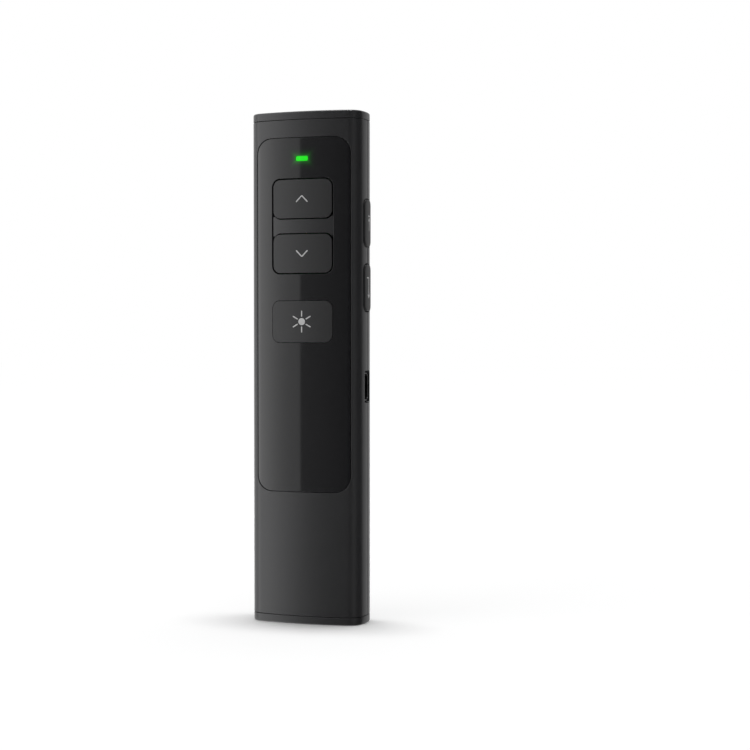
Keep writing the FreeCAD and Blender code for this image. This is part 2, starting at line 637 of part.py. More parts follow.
def power_slider():
    half_width = POWER_SLOT_HALF_WIDTH - KNOB_GAP
    back_inset = FLANGE_INSET + CARRIAGE_THICKNESS
    knob_bottom = POWER_ON_Z - KNOB_HALF_LENGTH
    knob_top = POWER_ON_Z + KNOB_HALF_LENGTH
    knob = case_ring(-KNOB_PROUD, back_inset, knob_bottom, knob_top).common(
        side_bar(-1, SEAM_Y, POWER_ON_Z, half_width, KNOB_HALF_LENGTH, half_width))

    # Carriage behind the wall, long enough to close the slot at both ends of the travel
    plate_half = POWER_SLOT_LENGTH / 2 + POWER_TRAVEL / 2 + CARRIAGE_COVER
    plate_half_width = POWER_SLOT_HALF_WIDTH + CARRIAGE_COVER
    plate = case_ring(FLANGE_INSET, back_inset, POWER_ON_Z - plate_half, POWER_ON_Z + plate_half).common(box(
        at(-HALF_WIDTH, SEAM_Y - plate_half_width, POWER_ON_Z - plate_half),
        at(0, SEAM_Y + plate_half_width, POWER_ON_Z + plate_half),
    ))
    socket_half_width = LEVER_HALF_WIDTH + LEVER_FIT + SOCKET_WALL
    socket_half_length = LEVER_HALF_LENGTH + LEVER_FIT + SOCKET_WALL
    socket_root = CARRIAGE_BACK + CARRIAGE_THICKNESS / 2
    socket = box(
        at(-socket_root, LEVER_Y - socket_half_width, POWER_ON_Z - socket_half_length),
        at(-SOCKET_BACK, LEVER_Y + socket_half_width, POWER_ON_Z + socket_half_length),
    )
    slider = joined(knob, plate, socket)
    lever_hole = box(
        at(-LEVER_TIP - LEVER_FIT,
           LEVER_Y - LEVER_HALF_WIDTH - LEVER_FIT,
           POWER_ON_Z - LEVER_HALF_LENGTH - LEVER_FIT),
        at(OVERRUN - SOCKET_BACK,
           LEVER_Y + LEVER_HALF_WIDTH + LEVER_FIT,
           POWER_ON_Z + LEVER_HALF_LENGTH + LEVER_FIT),
    )

    # Finger grooves across the knob, evenly spaced about its middle
    grooves = []
    count = int(GRIP_LENGTH_SHARE * 2 * KNOB_HALF_LENGTH / GRIP_PITCH)
    for number in range(count):
        low = POWER_ON_Z + (number - count / 2) * GRIP_PITCH
        grooves.append(box(
            at(-HALF_WIDTH - OVERRUN, SEAM_Y - half_width, low),
            at(GRIP_DEPTH - HALF_WIDTH - KNOB_PROUD, SEAM_Y + half_width, low + GRIP_PITCH / 2),
        ))
    return slider.cut([lever_hole] + grooves)


def main_board():
    board = box(at(-BOARD_HALF_WIDTH, BOARD_FRONT, BOARD_BOTTOM), at(BOARD_HALF_WIDTH, BOARD_REAR, BOARD_TOP))
    holes = [
        rod(SCREW_RADIUS + SCREW_CLEARANCE, at(x, BOARD_FRONT, z), at(0, BOARD_THICKNESS, 0))
        for x, z in SCREW_PLACES
    ]
    return board.cut(holes)


def board_screws():
    screws = []
    for x, z in SCREW_PLACES:
        start = at(x, BOARD_REAR, z)
        head = rod(SCREW_HEAD_RADIUS, start, at(0, SCREW_HEAD_HEIGHT, 0))
        shank = rod(SCREW_RADIUS, start, at(0, -BOARD_THICKNESS - SCREW_REACH, 0))
        screws.append(joined(head, shank))
    return Part.makeCompound(screws)


def key_switch(z):
    body = box(
        at(-KEY_SWITCH_HALF, KEY_SWITCH_FACE, z - KEY_SWITCH_HALF),
        at(KEY_SWITCH_HALF, BOARD_FRONT, z + KEY_SWITCH_HALF),
    )
    bore_half = PLUNGER_HALF + PLUNGER_FIT
    bore = box(
        at(-bore_half, KEY_SWITCH_FACE, z - bore_half),
        at(bore_half, KEY_SWITCH_FACE + PLUNGER_DEPTH + KEY_TRAVEL + PLUNGER_FIT, z + bore_half),
    )
    return body.cut(bore)


def key_plunger(z):
    return box(
        at(-PLUNGER_HALF, PLUNGER_TIP, z - PLUNGER_HALF),
        at(PLUNGER_HALF, KEY_SWITCH_FACE + PLUNGER_DEPTH, z + PLUNGER_HALF),
    )


def side_switch(z):
    """A switch that lies on the rear of the board and faces the side wall."""
    body = box(
        at(SIDE_SWITCH_FACE - SIDE_SWITCH_DEPTH, BOARD_REAR, z - SIDE_SWITCH_HALF),
        at(SIDE_SWITCH_FACE, BOARD_REAR + SIDE_SWITCH_HEIGHT, z + SIDE_SWITCH_HALF),
    )
    middle = BOARD_REAR + SIDE_SWITCH_HEIGHT / 2
    bore_half = SIDE_PLUNGER_HALF + PLUNGER_FIT
    bore_depth = PLUNGER_DEPTH + SIDE_KEY_TRAVEL + PLUNGER_FIT
    bore = box(
        at(SIDE_SWITCH_FACE - bore_depth, middle - bore_half, z - bore_half),
        at(SIDE_SWITCH_FACE, middle + bore_half, z + bore_half),
    )
    return body.cut(bore)


def side_plunger(z):
    middle = BOARD_REAR + SIDE_SWITCH_HEIGHT / 2
    return box(
        at(SIDE_SWITCH_FACE - PLUNGER_DEPTH, middle - SIDE_PLUNGER_HALF, z - SIDE_PLUNGER_HALF),
        at(SIDE_PLUNGER_TIP, middle + SIDE_PLUNGER_HALF, z + SIDE_PLUNGER_HALF),
    )


def power_switch_body():
    body = box(
        at(-POWER_SWITCH_FACE, BOARD_REAR, POWER_SLOT_Z - POWER_SWITCH_HALF),
        at(POWER_SWITCH_DEPTH - POWER_SWITCH_FACE,
           BOARD_REAR + POWER_SWITCH_HEIGHT,
           POWER_SLOT_Z + POWER_SWITCH_HALF),
    )
    half_run = LEVER_HALF_LENGTH + POWER_TRAVEL / 2 + LEVER_FIT
    slot = box(
        at(-POWER_SWITCH_FACE - OVERRUN, LEVER_Y - LEVER_HALF_WIDTH - LEVER_FIT, POWER_SLOT_Z - half_run),
        at(-POWER_SWITCH_FACE + LEVER_DEPTH + LEVER_FIT,
           LEVER_Y + LEVER_HALF_WIDTH + LEVER_FIT,
           POWER_SLOT_Z + half_run),
    )
    return body.cut(slot)


def power_switch_lever():
    return box(
        at(-LEVER_TIP, LEVER_Y - LEVER_HALF_WIDTH, POWER_ON_Z - LEVER_HALF_LENGTH),
        at(-POWER_SWITCH_FACE + LEVER_DEPTH, LEVER_Y + LEVER_HALF_WIDTH, POWER_ON_Z + LEVER_HALF_LENGTH),
    )


def indicator_light_pipe():
    lamp_face = BOARD_FRONT - LAMP_THICKNESS - LAMP_GAP
    bottom = LIGHT_Z - LIGHT_HALF_HEIGHT
    top = LIGHT_Z + LIGHT_HALF_HEIGHT
    pipe = front_bar(LIGHT_HALF_LENGTH, bottom, top, LIGHT_HALF_HEIGHT, lamp_face).common(
        case_block(LIGHT_INSET, bottom, top))
    flange_height = LIGHT_HALF_HEIGHT + LIGHT_FLANGE
    flange = front_block(
        LIGHT_HALF_LENGTH + LIGHT_FLANGE, LIGHT_Z - flange_height, LIGHT_Z + flange_height)
    ring = case_ring(
        FLANGE_INSET, FLANGE_INSET + LIGHT_FLANGE, LIGHT_Z - flange_height, LIGHT_Z + flange_height)
    return joined(pipe, flange.common(ring))


def status_lamp():
    return box(
        at(-LAMP_HALF_LENGTH, BOARD_FRONT - LAMP_THICKNESS, LIGHT_Z - LAMP_HALF_HEIGHT),
        at(LAMP_HALF_LENGTH, BOARD_FRONT, LIGHT_Z + LAMP_HALF_HEIGHT),
    )


def port_prism(inset, start, end):
    """The socket's profile, wide on the board and narrowed away from it, run along X."""
    low = BOARD_REAR + inset
    high = BOARD_REAR + PORT_HEIGHT - inset
    wide = PORT_HALF_LENGTH - inset
    narrow = PORT_NARROW_HALF - inset
    shoulder = BOARD_REAR + PORT_SHOULDER
    half_outline = [(low, wide), (shoulder, wide), (high, narrow)]
    outline = half_outline + [(y, -z) for y, z in reversed(half_outline)]
    points = [at(start, y, PORT_Z + z) for y, z in outline]
    return Part.Face(Part.makePolygon(points + points[:1])).extrude(at(end - start, 0, 0))


def charge_port_shell():
    prism = port_prism(0, PORT_BACK, PORT_MOUTH)
    ridges = [edge for edge in prism.Edges if edge.BoundBox.XLength > SHORTEST_EDGE]
    return prism.makeFillet(PORT_CORNER, ridges).cut(port_prism(PORT_METAL, PORT_BACK, PORT_MOUTH))


def charge_port_insert():
    insert = port_prism(PORT_METAL + PORT_FIT, PORT_BACK, PORT_BACK + PORT_PLUG_DEPTH)
    tongue = box(
        at(PORT_BACK, BOARD_REAR + TONGUE_RISE, PORT_Z - TONGUE_HALF),
        at(PORT_MOUTH - TONGUE_RECESS, BOARD_REAR + TONGUE_RISE + TONGUE_THICKNESS, PORT_Z + TONGUE_HALF),
    )
    return joined(insert, tongue)


def laser_barrel():
    tube = rod(LASER_RADIUS, at(0, 0, LASER_BOTTOM), at(0, 0, LASER_LENGTH))
    return tube.cut(rod(LASER_BORE, at(0, 0, LASER_BOTTOM), at(0, 0, LASER_LENGTH)))


def laser_lens():
    top = LASER_TOP - LENS_SETBACK
    return rod(LASER_BORE - LASER_FIT, at(0, 0, top - LENS_THICKNESS), at(0, 0, LENS_THICKNESS))


def laser_diode():
    flange_bottom = LASER_BOTTOM + DIODE_SETBACK
    flange = rod(LASER_BORE - LASER_FIT, at(0, 0, flange_bottom), at(0, 0, DIODE_FLANGE))
    can = rod(DIODE_RADIUS, at(0, 0, flange_bottom), at(0, 0, DIODE_FLANGE + DIODE_LENGTH))
    pin_front = BOARD_REAR + FLANGE_GAP
    pins = [
        box(at(x - DIODE_PIN_HALF, pin_front, BOARD_TOP - DIODE_PIN_REACH),
            at(x + DIODE_PIN_HALF, pin_front + 2 * DIODE_PIN_HALF, flange_bottom + DIODE_FLANGE / 2))
        for x in [-DIODE_PIN_SPREAD, DIODE_PIN_SPREAD]
    ]
    return joined(flange, can, *pins)


def laser_window():
    start = at(0, 0, WINDOW_TOP - WINDOW_THICKNESS)
    return rod(LASER_RADIUS, start, at(0, 0, WINDOW_THICKNESS))


def battery_cell():
    return rounded_bar(
        at(0, BATTERY_MIDDLE, BATTERY_BOTTOM),
        X_AXIS, BATTERY_HALF_WIDTH,
        Y_AXIS, BATTERY_THICKNESS / 2,
        BATTERY_EDGE,
        at(0, 0, BATTERY_TOP - BATTERY_BOTTOM),
    )


def battery_tape():
    half_width = BATTERY_HALF_WIDTH - TAPE_MARGIN
    return box(
        at(-half_width, BOARD_REAR, BATTERY_BOTTOM + TAPE_MARGIN),
        at(half_width, BATTERY_FRONT, BATTERY_TOP - TAPE_MARGIN),
    )


def battery_guard_board():
    return box(
        at(-GUARD_HALF_WIDTH, BATTERY_MIDDLE - GUARD_THICKNESS / 2, BATTERY_TOP),
        at(GUARD_HALF_WIDTH, BATTERY_MIDDLE + GUARD_THICKNESS / 2, BATTERY_TOP + GUARD_HEIGHT),
    )


def battery_lead(x):
    """A lead that slants from the guard circuit up and forward to its pad on the rear of the board."""
    low = BATTERY_TOP + GUARD_HEIGHT
    start = at(x, BATTERY_MIDDLE, low - LEAD_SINK)
    end = at(x, BOARD_REAR - LEAD_SINK, low + LEAD_RISE)
    room = box(at(-HALF_WIDTH, BOARD_REAR, low), at(HALF_WIDTH, HALF_DEPTH, LENGTH))
    return rod(LEAD_RADIUS, start, end - start).common(room)


def radio_chip():
    return box(
        at(-RADIO_CHIP_HALF, BOARD_REAR, RADIO_CHIP_Z - RADIO_CHIP_HALF),
        at(RADIO_CHIP_HALF, BOARD_REAR + RADIO_CHIP_HEIGHT, RADIO_CHIP_Z + RADIO_CHIP_HALF),
    )


def crystal_can():
    left = -CRYSTAL_SIDE - CRYSTAL_HALF_WIDTH
    right = -CRYSTAL_SIDE + CRYSTAL_HALF_WIDTH
    return box(
        at(left, BOARD_REAR, RADIO_CHIP_Z - CRYSTAL_HALF_LENGTH),
        at(right, BOARD_REAR + CRYSTAL_HEIGHT, RADIO_CHIP_Z + CRYSTAL_HALF_LENGTH),
    )


def receiver_grip():
    grip = rounded_bar(
        at(0, 0, GRIP_RECESS),
        X_AXIS, GRIP_HALF_WIDTH,
        Y_AXIS, GRIP_HALF_DEPTH,
        GRIP_CORNER,
        at(0, 0, GRIP_LENGTH),
    )
    groove_bottom = GRIP_RECESS + GROOVE_RISE
    groove = box(
        at(-GROOVE_HALF_LENGTH, GRIP_HALF_DEPTH - GROOVE_DEPTH, groove_bottom),
        at(GROOVE_HALF_LENGTH, GRIP_HALF_DEPTH + OVERRUN, groove_bottom + GROOVE_HEIGHT),
    )
    return grip.cut(groove)


def plug_room(inset):
    """The block of space inside the plug's shell, moved in by inset from the outside of the shell."""
    half_width = PLUG_HALF_WIDTH - inset
    half_depth = PLUG_HALF_DEPTH - inset
    return box(
        at(-half_width, -half_depth, PLUG_BOTTOM),
        at(half_width, half_depth, PLUG_BOTTOM + PLUG_LENGTH),
    )


def receiver_plug_shell():
    tube = rounded_bar(
        at(0, 0, PLUG_BOTTOM),
        X_AXIS, PLUG_HALF_WIDTH,
        Y_AXIS, PLUG_HALF_DEPTH,
        PLUG_CORNER,
        at(0, 0, PLUG_LENGTH),
    ).cut(plug_room(PLUG_METAL))
    low = PLUG_BOTTOM + PLUG_HOLE_RISE
    high = low + 2 * PLUG_HOLE_HALF
    holes = [
        box(at(x - PLUG_HOLE_HALF, -HALF_DEPTH, low), at(x + PLUG_HOLE_HALF, HALF_DEPTH, high))
        for x in [-PLUG_HOLE_SPREAD, PLUG_HOLE_SPREAD]
    ]
    return tube.cut(holes)


def receiver_tongue():
    inner = PLUG_METAL + PLUG_FIT
    slab = box(
        at(-HALF_WIDTH, inner - PLUG_HALF_DEPTH, PLUG_BOTTOM),
        at(HALF_WIDTH, inner - PLUG_HALF_DEPTH + PLUG_TONGUE_THICKNESS,
           PLUG_BOTTOM + PLUG_LENGTH - PLUG_TONGUE_SETBACK),
    )
    return plug_room(inner).common(slab)


def receiver_contacts():
    face = PLUG_METAL + PLUG_FIT - PLUG_HALF_DEPTH + PLUG_TONGUE_THICKNESS
    high = PLUG_BOTTOM + PLUG_LENGTH - PLUG_TONGUE_SETBACK
    strips = []
    for number in range(CONTACT_COUNT):
        x = (number - (CONTACT_COUNT - 1) / 2) * CONTACT_PITCH
        strips.append(box(
            at(x - CONTACT_HALF_WIDTH, face, high - CONTACT_LENGTH),
            at(x + CONTACT_HALF_WIDTH, face + CONTACT_THICKNESS, high),
        ))
    return Part.makeCompound(strips)


def clicker():
    """Every sub-part by its node name."""
    page_up_z = (PAGE_UP_BOTTOM + PAGE_UP_TOP) / 2
    page_down_z = (PAGE_DOWN_BOTTOM + PAGE_DOWN_TOP) / 2
    laser_key_z = (LASER_KEY_BOTTOM + LASER_KEY_TOP) / 2
    return {
        "front_shell": front_shell(),
        "rear_shell": rear_shell(),
        "front_panel": front_panel(),
        "top_cap": top_cap(),
        "bottom_cap": bottom_cap(),
        "page_up_key": front_key(PAGE_KEY_HALF_WIDTH, PAGE_UP_BOTTOM, PAGE_UP_TOP, PAGE_KEY_PROUD),
        "page_up_plunger": key_plunger(page_up_z),
        "page_up_switch": key_switch(page_up_z),
        "page_down_key": front_key(PAGE_KEY_HALF_WIDTH, PAGE_DOWN_BOTTOM, PAGE_DOWN_TOP, PAGE_KEY_PROUD),
        "page_down_plunger": key_plunger(page_down_z),
        "page_down_switch": key_switch(page_down_z),
        "laser_key": front_key(LASER_KEY_HALF_WIDTH, LASER_KEY_BOTTOM, LASER_KEY_TOP, LASER_KEY_PROUD),
        "laser_key_plunger": key_plunger(laser_key_z),
        "laser_key_switch": key_switch(laser_key_z),
        "tab_key": side_key(TAB_KEY_Z),
        "tab_plunger": side_plunger(TAB_KEY_Z),
        "tab_switch": side_switch(TAB_KEY_Z),
        "enter_key": side_key(ENTER_KEY_Z),
        "enter_plunger": side_plunger(ENTER_KEY_Z),
        "enter_switch": side_switch(ENTER_KEY_Z),
        "power_slider": power_slider(),
        "power_switch_lever": power_switch_lever(),
        "power_switch_body": power_switch_body(),
        "indicator_light_pipe": indicator_light_pipe(),
        "status_lamp": status_lamp(),
        "main_board": main_board(),
        "board_screws": board_screws(),
        "radio_chip": radio_chip(),
        "crystal_can": crystal_can(),
        "charge_port_shell": charge_port_shell(),
        "charge_port_insert": charge_port_insert(),
        "laser_barrel": laser_barrel(),
        "laser_diode": laser_diode(),
        "laser_lens": laser_lens(),
        "laser_window": laser_window(),
        "battery_cell": battery_cell(),
        "battery_tape": battery_tape(),
        "battery_guard_board": battery_guard_board(),
        "battery_lead_positive": battery_lead(LEAD_SPREAD),
        "battery_lead_negative": battery_lead(-LEAD_SPREAD),
        "receiver_grip": receiver_grip(),
        "receiver_plug_shell": receiver_plug_shell(),
        "receiver_tongue": receiver_tongue(),
        "receiver_contacts": receiver_contacts(),
    }


os.makedirs("parts", exist_ok=True)
for name, shape in clicker().items():
    shape.exportStep("parts/" + name + ".step")
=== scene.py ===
import bmesh
import bpy
import math
from mathutils import Matrix, Vector


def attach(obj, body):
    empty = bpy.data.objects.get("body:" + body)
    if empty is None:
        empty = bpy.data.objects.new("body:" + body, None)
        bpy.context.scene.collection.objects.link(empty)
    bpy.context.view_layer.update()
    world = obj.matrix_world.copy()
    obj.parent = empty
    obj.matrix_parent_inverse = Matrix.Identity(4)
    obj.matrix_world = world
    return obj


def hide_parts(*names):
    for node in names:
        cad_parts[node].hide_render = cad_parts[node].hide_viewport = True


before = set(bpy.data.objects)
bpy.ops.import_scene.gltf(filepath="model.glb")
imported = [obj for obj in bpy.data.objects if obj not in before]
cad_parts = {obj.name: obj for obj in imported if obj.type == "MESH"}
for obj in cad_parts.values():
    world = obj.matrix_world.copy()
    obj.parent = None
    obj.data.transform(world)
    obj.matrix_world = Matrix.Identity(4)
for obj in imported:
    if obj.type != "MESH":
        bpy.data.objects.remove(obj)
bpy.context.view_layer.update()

# Front shell: one thin-walled moulding in satin charcoal plastic, bowed across its width. It is
# drawn flat, x being the way round the case from the middle of the face and y the height, and is
# then bent round the case's outline. The floor of its recess carries the bridge between page keys.
MILLIMETRE = 0.001
CASE_HEIGHT = 135.0
HALF_WIDTH = 15.65
HALF_DEPTH = 7.25
FACE_RADIUS = 63.0
SIDE_RADIUS = 14.5
CORNER_RADIUS = 3.9
WALL = 1.6
CAP_BAND = 2.1
SEAM_GAP = 0.12
SEAM_Y = 0.5
SHELL_EDGE = 0.14
EDGE_STEPS = 3
EDGE_KEEP = 0.06
FACE_STRIP = 0.5
CORNER_STRIP = 0.2
SIDE_STRIP = 0.4
TOUCH = 0.0001
SHARP_TURN = 40
BRIDGE_GAP = 0.06
BRIDGE_TURN = 50.0
BRIDGE_INSET = 0.05
BRIDGE_EDGE = 0.06
BRIDGE_ROOT = 0.1
LIP_HALF_WIDTH = 0.9
LIP_THICKNESS = 0.5
LIP_CORNER = 0.2
LIP_CLEAR = 0.4
LIP_END = 3.4
LIP_LIFT = 0.001
SHELL_GRAIN = 0.000004
LIP_STEPS = 3
PANEL_STEPS = 12
HOLE_STEPS = 8
BITE_STEPS = 8
SHELL_LOW = CAP_BAND + SEAM_GAP
SHELL_HIGH = CASE_HEIGHT - CAP_BAND - SEAM_GAP

PANEL_HALF_WIDTH = 13.0
PANEL_LOW = 35.1
PANEL_HIGH = 128.0
PANEL_CORNER = 4.2
PANEL_THICKNESS = 0.8
PANEL_GAP = 0.2
PAGE_KEY_HALF_WIDTH = 8.25
PAGE_KEY_GAP = 0.35
PAGE_UP_SPAN = (107.0, 117.15)
PAGE_DOWN_SPAN = (92.65, 102.8)
LASER_KEY_HALF_WIDTH = 8.4
LASER_KEY_GAP = 0.1
LASER_KEY_SPAN = (74.4, 85.3)
KEY_CORNER = 2.0
LIGHT_HEIGHT = 122.6
LIGHT_HALF_LENGTH = 1.65
LIGHT_HALF_HEIGHT = 0.62
LIGHT_CORNER = 0.4
LIGHT_FIT = 0.05

SIDE_KEY_HEIGHTS = (105.8, 88.75)
SIDE_KEY_LENGTH = 12.3
SIDE_KEY_HALF_WIDTH = 2.7
SIDE_KEY_CORNER = 1.7
SIDE_KEY_GAP = 0.25
PORT_HEIGHT = 62.694
PORT_Y = 0.4
PORT_HALF_LENGTH = 4.25
PORT_HALF_WIDTH = 2.1
PORT_CORNER = 0.8
SLOT_HEIGHT = 97.5
SLOT_LENGTH = 13.5
SLOT_HALF_WIDTH = 1.75


def corner_of_case():
    """The middle of a corner's arc, and the turns at which it leaves the face and meets the side."""
    face_y = FACE_RADIUS - HALF_DEPTH
    side_x = HALF_WIDTH - SIDE_RADIUS
    to_face = FACE_RADIUS - CORNER_RADIUS
    to_side = SIDE_RADIUS - CORNER_RADIUS
    apart = math.hypot(side_x, face_y)
    along = (to_face ** 2 - to_side ** 2 + apart ** 2) / (2 * apart)
    across = math.sqrt(to_face ** 2 - along ** 2)
    x = (along * side_x + across * face_y) / apart
    y = face_y - (along * face_y - across * side_x) / apart
    return x, y, math.atan2(x, face_y - y), math.atan2(x - side_x, -y)


CORNER_X, CORNER_Y, FACE_TURN, SIDE_TURN = corner_of_case()
FACE_RUN = FACE_RADIUS * FACE_TURN
CORNER_RUN = CORNER_RADIUS * (SIDE_TURN - FACE_TURN)
SIDE_RUN = SIDE_RADIUS * (math.pi / 2 - SIDE_TURN)
HALF_RUN = FACE_RUN + CORNER_RUN + SIDE_RUN


def on_case(run, inset):
    """The point that lies run round the case from the middle of the face, and inset below its skin."""
    left = abs(run)
    behind = left > HALF_RUN
    if behind:
        left = 2 * HALF_RUN - left
    if left <= FACE_RUN:
        hub_x, hub_y, radius, turn = 0.0, FACE_RADIUS - HALF_DEPTH, FACE_RADIUS, left / FACE_RADIUS
    elif left <= FACE_RUN + CORNER_RUN:
        hub_x, hub_y, radius = CORNER_X, CORNER_Y, CORNER_RADIUS
        turn = FACE_TURN + (left - FACE_RUN) / CORNER_RADIUS
    else:
        hub_x, hub_y, radius = HALF_WIDTH - SIDE_RADIUS, 0.0, SIDE_RADIUS
        turn = SIDE_TURN + (left - FACE_RUN - CORNER_RUN) / SIDE_RADIUS
    x = hub_x + (radius - inset) * math.sin(turn)
    y = hub_y - (radius - inset) * math.cos(turn)
    return math.copysign(x, run), -y if behind else y


def run_to(x):
    """How far round the case a point of the front lies that is x from its middle."""
    if x <= FACE_RADIUS * math.sin(FACE_TURN):
        return FACE_RADIUS * math.asin(x / FACE_RADIUS)
    return FACE_RUN + CORNER_RADIUS * (math.asin((x - CORNER_X) / CORNER_RADIUS) - FACE_TURN)


def run_to_side(y):
    """How far round the case a point of its right side lies that is at y."""
    return HALF_RUN + SIDE_RADIUS * math.asin(y / SIDE_RADIUS)


class Pen:
    """Draws one outline in the flat: a straight run pulls the last point on, a bend spins it."""

    def __init__(self, drawing, x, y, level=0.0):
        self.drawing = drawing
        self.first = drawing.verts.new((x, y, level))
        self.tip = self.first
        self.heading = 0.0

    def face(self, degrees):
        self.heading += math.radians(degrees)

    def go(self, length):
        if length < TOUCH:
            return
        step = Vector((math.cos(self.heading), math.sin(self.heading), 0.0)) * length
        pulled = bmesh.ops.extrude_vert_indiv(self.drawing, verts=[self.tip])["verts"][0]
        pulled.co = self.tip.co + step
        self.tip = pulled

    def bend(self, radius, degrees, steps):
        side = math.copysign(1, degrees)
        hub = self.tip.co + Vector((-math.sin(self.heading), math.cos(self.heading), 0.0)) * radius * side
        made = bmesh.ops.spin(
            self.drawing, geom=[self.tip], cent=hub, axis=(0, 0, 1),
            angle=math.radians(degrees), steps=steps)
        self.tip = next(part for part in made["geom_last"] if isinstance(part, bmesh.types.BMVert))
        self.heading += math.radians(degrees)

    def notch(self, depth, length, corner, steps, before=0.0, after=0.0):
        """A round-cornered bite to the left of the pen's way, which may start or end further in."""
        self.face(90)
        self.go(depth - corner - before)
        self.bend(corner, -90, steps)
        self.go(length - 2 * corner)
        self.bend(corner, -90, steps)
        self.go(depth - corner - after)
        self.face(90)

    def close(self):
        """Joins the last point to the first and returns the outline's edges."""
        bmesh.ops.weld_verts(self.drawing, targetmap={self.tip: self.first})
        edges = []
        reached = [self.first]
        while reached:
            for edge in reached.pop().link_edges:
                if edge not in edges:
                    edges.append(edge)
                    reached += edge.verts
        return edges


def drawn_bar(drawing, middle_x, middle_y, half_width, half_height, corner, steps, level=0.0):
    """The outline of a round-cornered rectangle."""
    pen = Pen(drawing, middle_x - half_width + corner, middle_y - half_height, level)
    for run in (half_width, half_height, half_width, half_height):
        pen.go(2 * (run - corner))
        pen.bend(corner, 90, steps)
    return pen.close()


def filled(drawing, outlines):
    """Fills what lies between outlines, facing up."""
    made = bmesh.ops.triangle_fill(drawing, use_beauty=True, edges=outlines, normal=(0, 0, 1))["geom"]
    faces = [part for part in made if isinstance(part, bmesh.types.BMFace)]
    bmesh.ops.reverse_faces(drawing, faces=[face for face in faces if face.normal.z < 0])
    return faces


def rounded(drawing, faces, edge):
    """Rounds the rim of a filled shape over, and keeps a narrow flat band next to the rounding."""
    turns = [math.pi / 2 * step / EDGE_STEPS for step in range(EDGE_STEPS + 1)]
    for low, high in zip(turns, turns[1:]):
        bmesh.ops.inset_region(
            drawing, faces=faces, use_boundary=True, use_even_offset=True,
            thickness=edge * (math.cos(low) - math.cos(high)),
            depth=edge * (math.sin(high) - math.sin(low)))
    bmesh.ops.inset_region(
        drawing, faces=faces, use_boundary=True, use_even_offset=True, thickness=EDGE_KEEP)


def open_edges(drawing):
    return [part for part in drawing.edges if part.is_boundary]


def dropped(drawing, edges, depth):
    """Draws edges down into walls and returns the edges at their foot."""
    made = bmesh.ops.extrude_edge_only(drawing, edges=edges)["geom"]
    feet = [part for part in made if isinstance(part, bmesh.types.BMVert)]
    bmesh.ops.translate(drawing, vec=(0, 0, -depth), verts=feet)
    kept = set(feet)
    return [part for part in made
            if isinstance(part, bmesh.types.BMEdge) and kept.issuperset(part.verts)]


def moved(drawing, way):
    bmesh.ops.translate(drawing, vec=way, verts=drawing.verts[:])


def bent(drawing, backwards=False):
    """Cuts the flat drawing into narrow strips and bends it round the front or rear of the case."""
    low = min(vert.co.x for vert in drawing.verts)
    high = max(vert.co.x for vert in drawing.verts)
    arcs = [(FACE_RUN, FACE_STRIP), (CORNER_RUN, CORNER_STRIP), (2 * SIDE_RUN, SIDE_STRIP),
            (CORNER_RUN, CORNER_STRIP)]
    cuts = [0.0]
    for length, strip in arcs:
        count = math.ceil(length / strip)
        start = cuts[-1]
        cuts += [start + length * step / count for step in range(1, count + 1)]
    for cut in cuts:
        for x in {cut, -cut}:
            if low + TOUCH < x < high - TOUCH:
                bmesh.ops.bisect_plane(
                    drawing, geom=drawing.verts[:] + drawing.edges[:] + drawing.faces[:],
                    dist=TOUCH, plane_co=(x, 0, 0), plane_no=(1, 0, 0))
    turn = -1 if backwards else 1
    for vert in drawing.verts:
        x, y = on_case(vert.co.x, -vert.co.z)
        vert.co = (turn * x, turn * y, vert.co.y)


def object_of(drawing, name, finish):
    """Turns a drawing in millimetres into an object in metres."""
    bmesh.ops.scale(drawing, vec=(MILLIMETRE,) * 3, verts=drawing.verts[:])
    mesh = bpy.data.meshes.new(name)
    drawing.to_mesh(mesh)
    drawing.free()
    mesh.materials.append(finish)
    made = bpy.data.objects.new(name, mesh)
    bpy.context.scene.collection.objects.link(made)
    return made


def finished(drawing, name, body, finish, stands_for=()):
    """Turns a drawing into a smooth piece that rides on its body."""
    bmesh.ops.remove_doubles(drawing, verts=drawing.verts[:], dist=TOUCH)
    bmesh.ops.recalc_face_normals(drawing, faces=drawing.faces[:])
    piece = object_of(drawing, name, finish)
    piece.data.shade_smooth()
    piece.data.set_sharp_from_angle(angle=math.radians(SHARP_TURN))
    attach(piece, body)
    if stands_for:
        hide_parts(*stands_for)
    return piece


class Wire:
    """A socket of a finish's nodes. Sums on it add Math nodes, and node() adds any other kind."""

    def __init__(self, tree, socket=None):
        self.tree = tree
        self.socket = socket

    def node(self, kind, settings=None, values=None, output=0):
        made = self.tree.nodes.new(kind)
        for name, value in (settings or {}).items():
            setattr(made, name, value)
        for name, value in (values or {}).items():
            if isinstance(value, Wire):
                self.tree.links.new(value.socket, made.inputs[name])
            else:
                made.inputs[name].default_value = value
        return Wire(self.tree, made.outputs[output] if made.outputs else None)

    def sum(self, operation, *values):
        return self.node("ShaderNodeMath", {"operation": operation}, dict(enumerate(values)))

    def __add__(self, other):
        return self.sum("ADD", self, other)

    def __sub__(self, other):
        return self.sum("SUBTRACT", self, other)

    def __rsub__(self, other):
        return self.sum("SUBTRACT", other, self)

    def __mul__(self, other):
        return self.sum("MULTIPLY", self, other)

    def __truediv__(self, other):
        return self.sum("DIVIDE", self, other)

    def __rtruediv__(self, other):
        return self.sum("DIVIDE", other, self)

    def __gt__(self, other):
        return self.sum("GREATER_THAN", self, other)

    def __lt__(self, other):
        return self.sum("LESS_THAN", self, other)

    __radd__ = __add__
    __rmul__ = __mul__


def new_finish(name):
    """An empty finish: its material, and a wire on its nodes to start from."""
    material = bpy.data.materials.new(name)
    material.use_nodes = True
    material.node_tree.nodes.clear()
    return material, Wire(material.node_tree)


def laid_on(wire, shader):
    wire.node("ShaderNodeOutputMaterial", values={"Surface": shader})


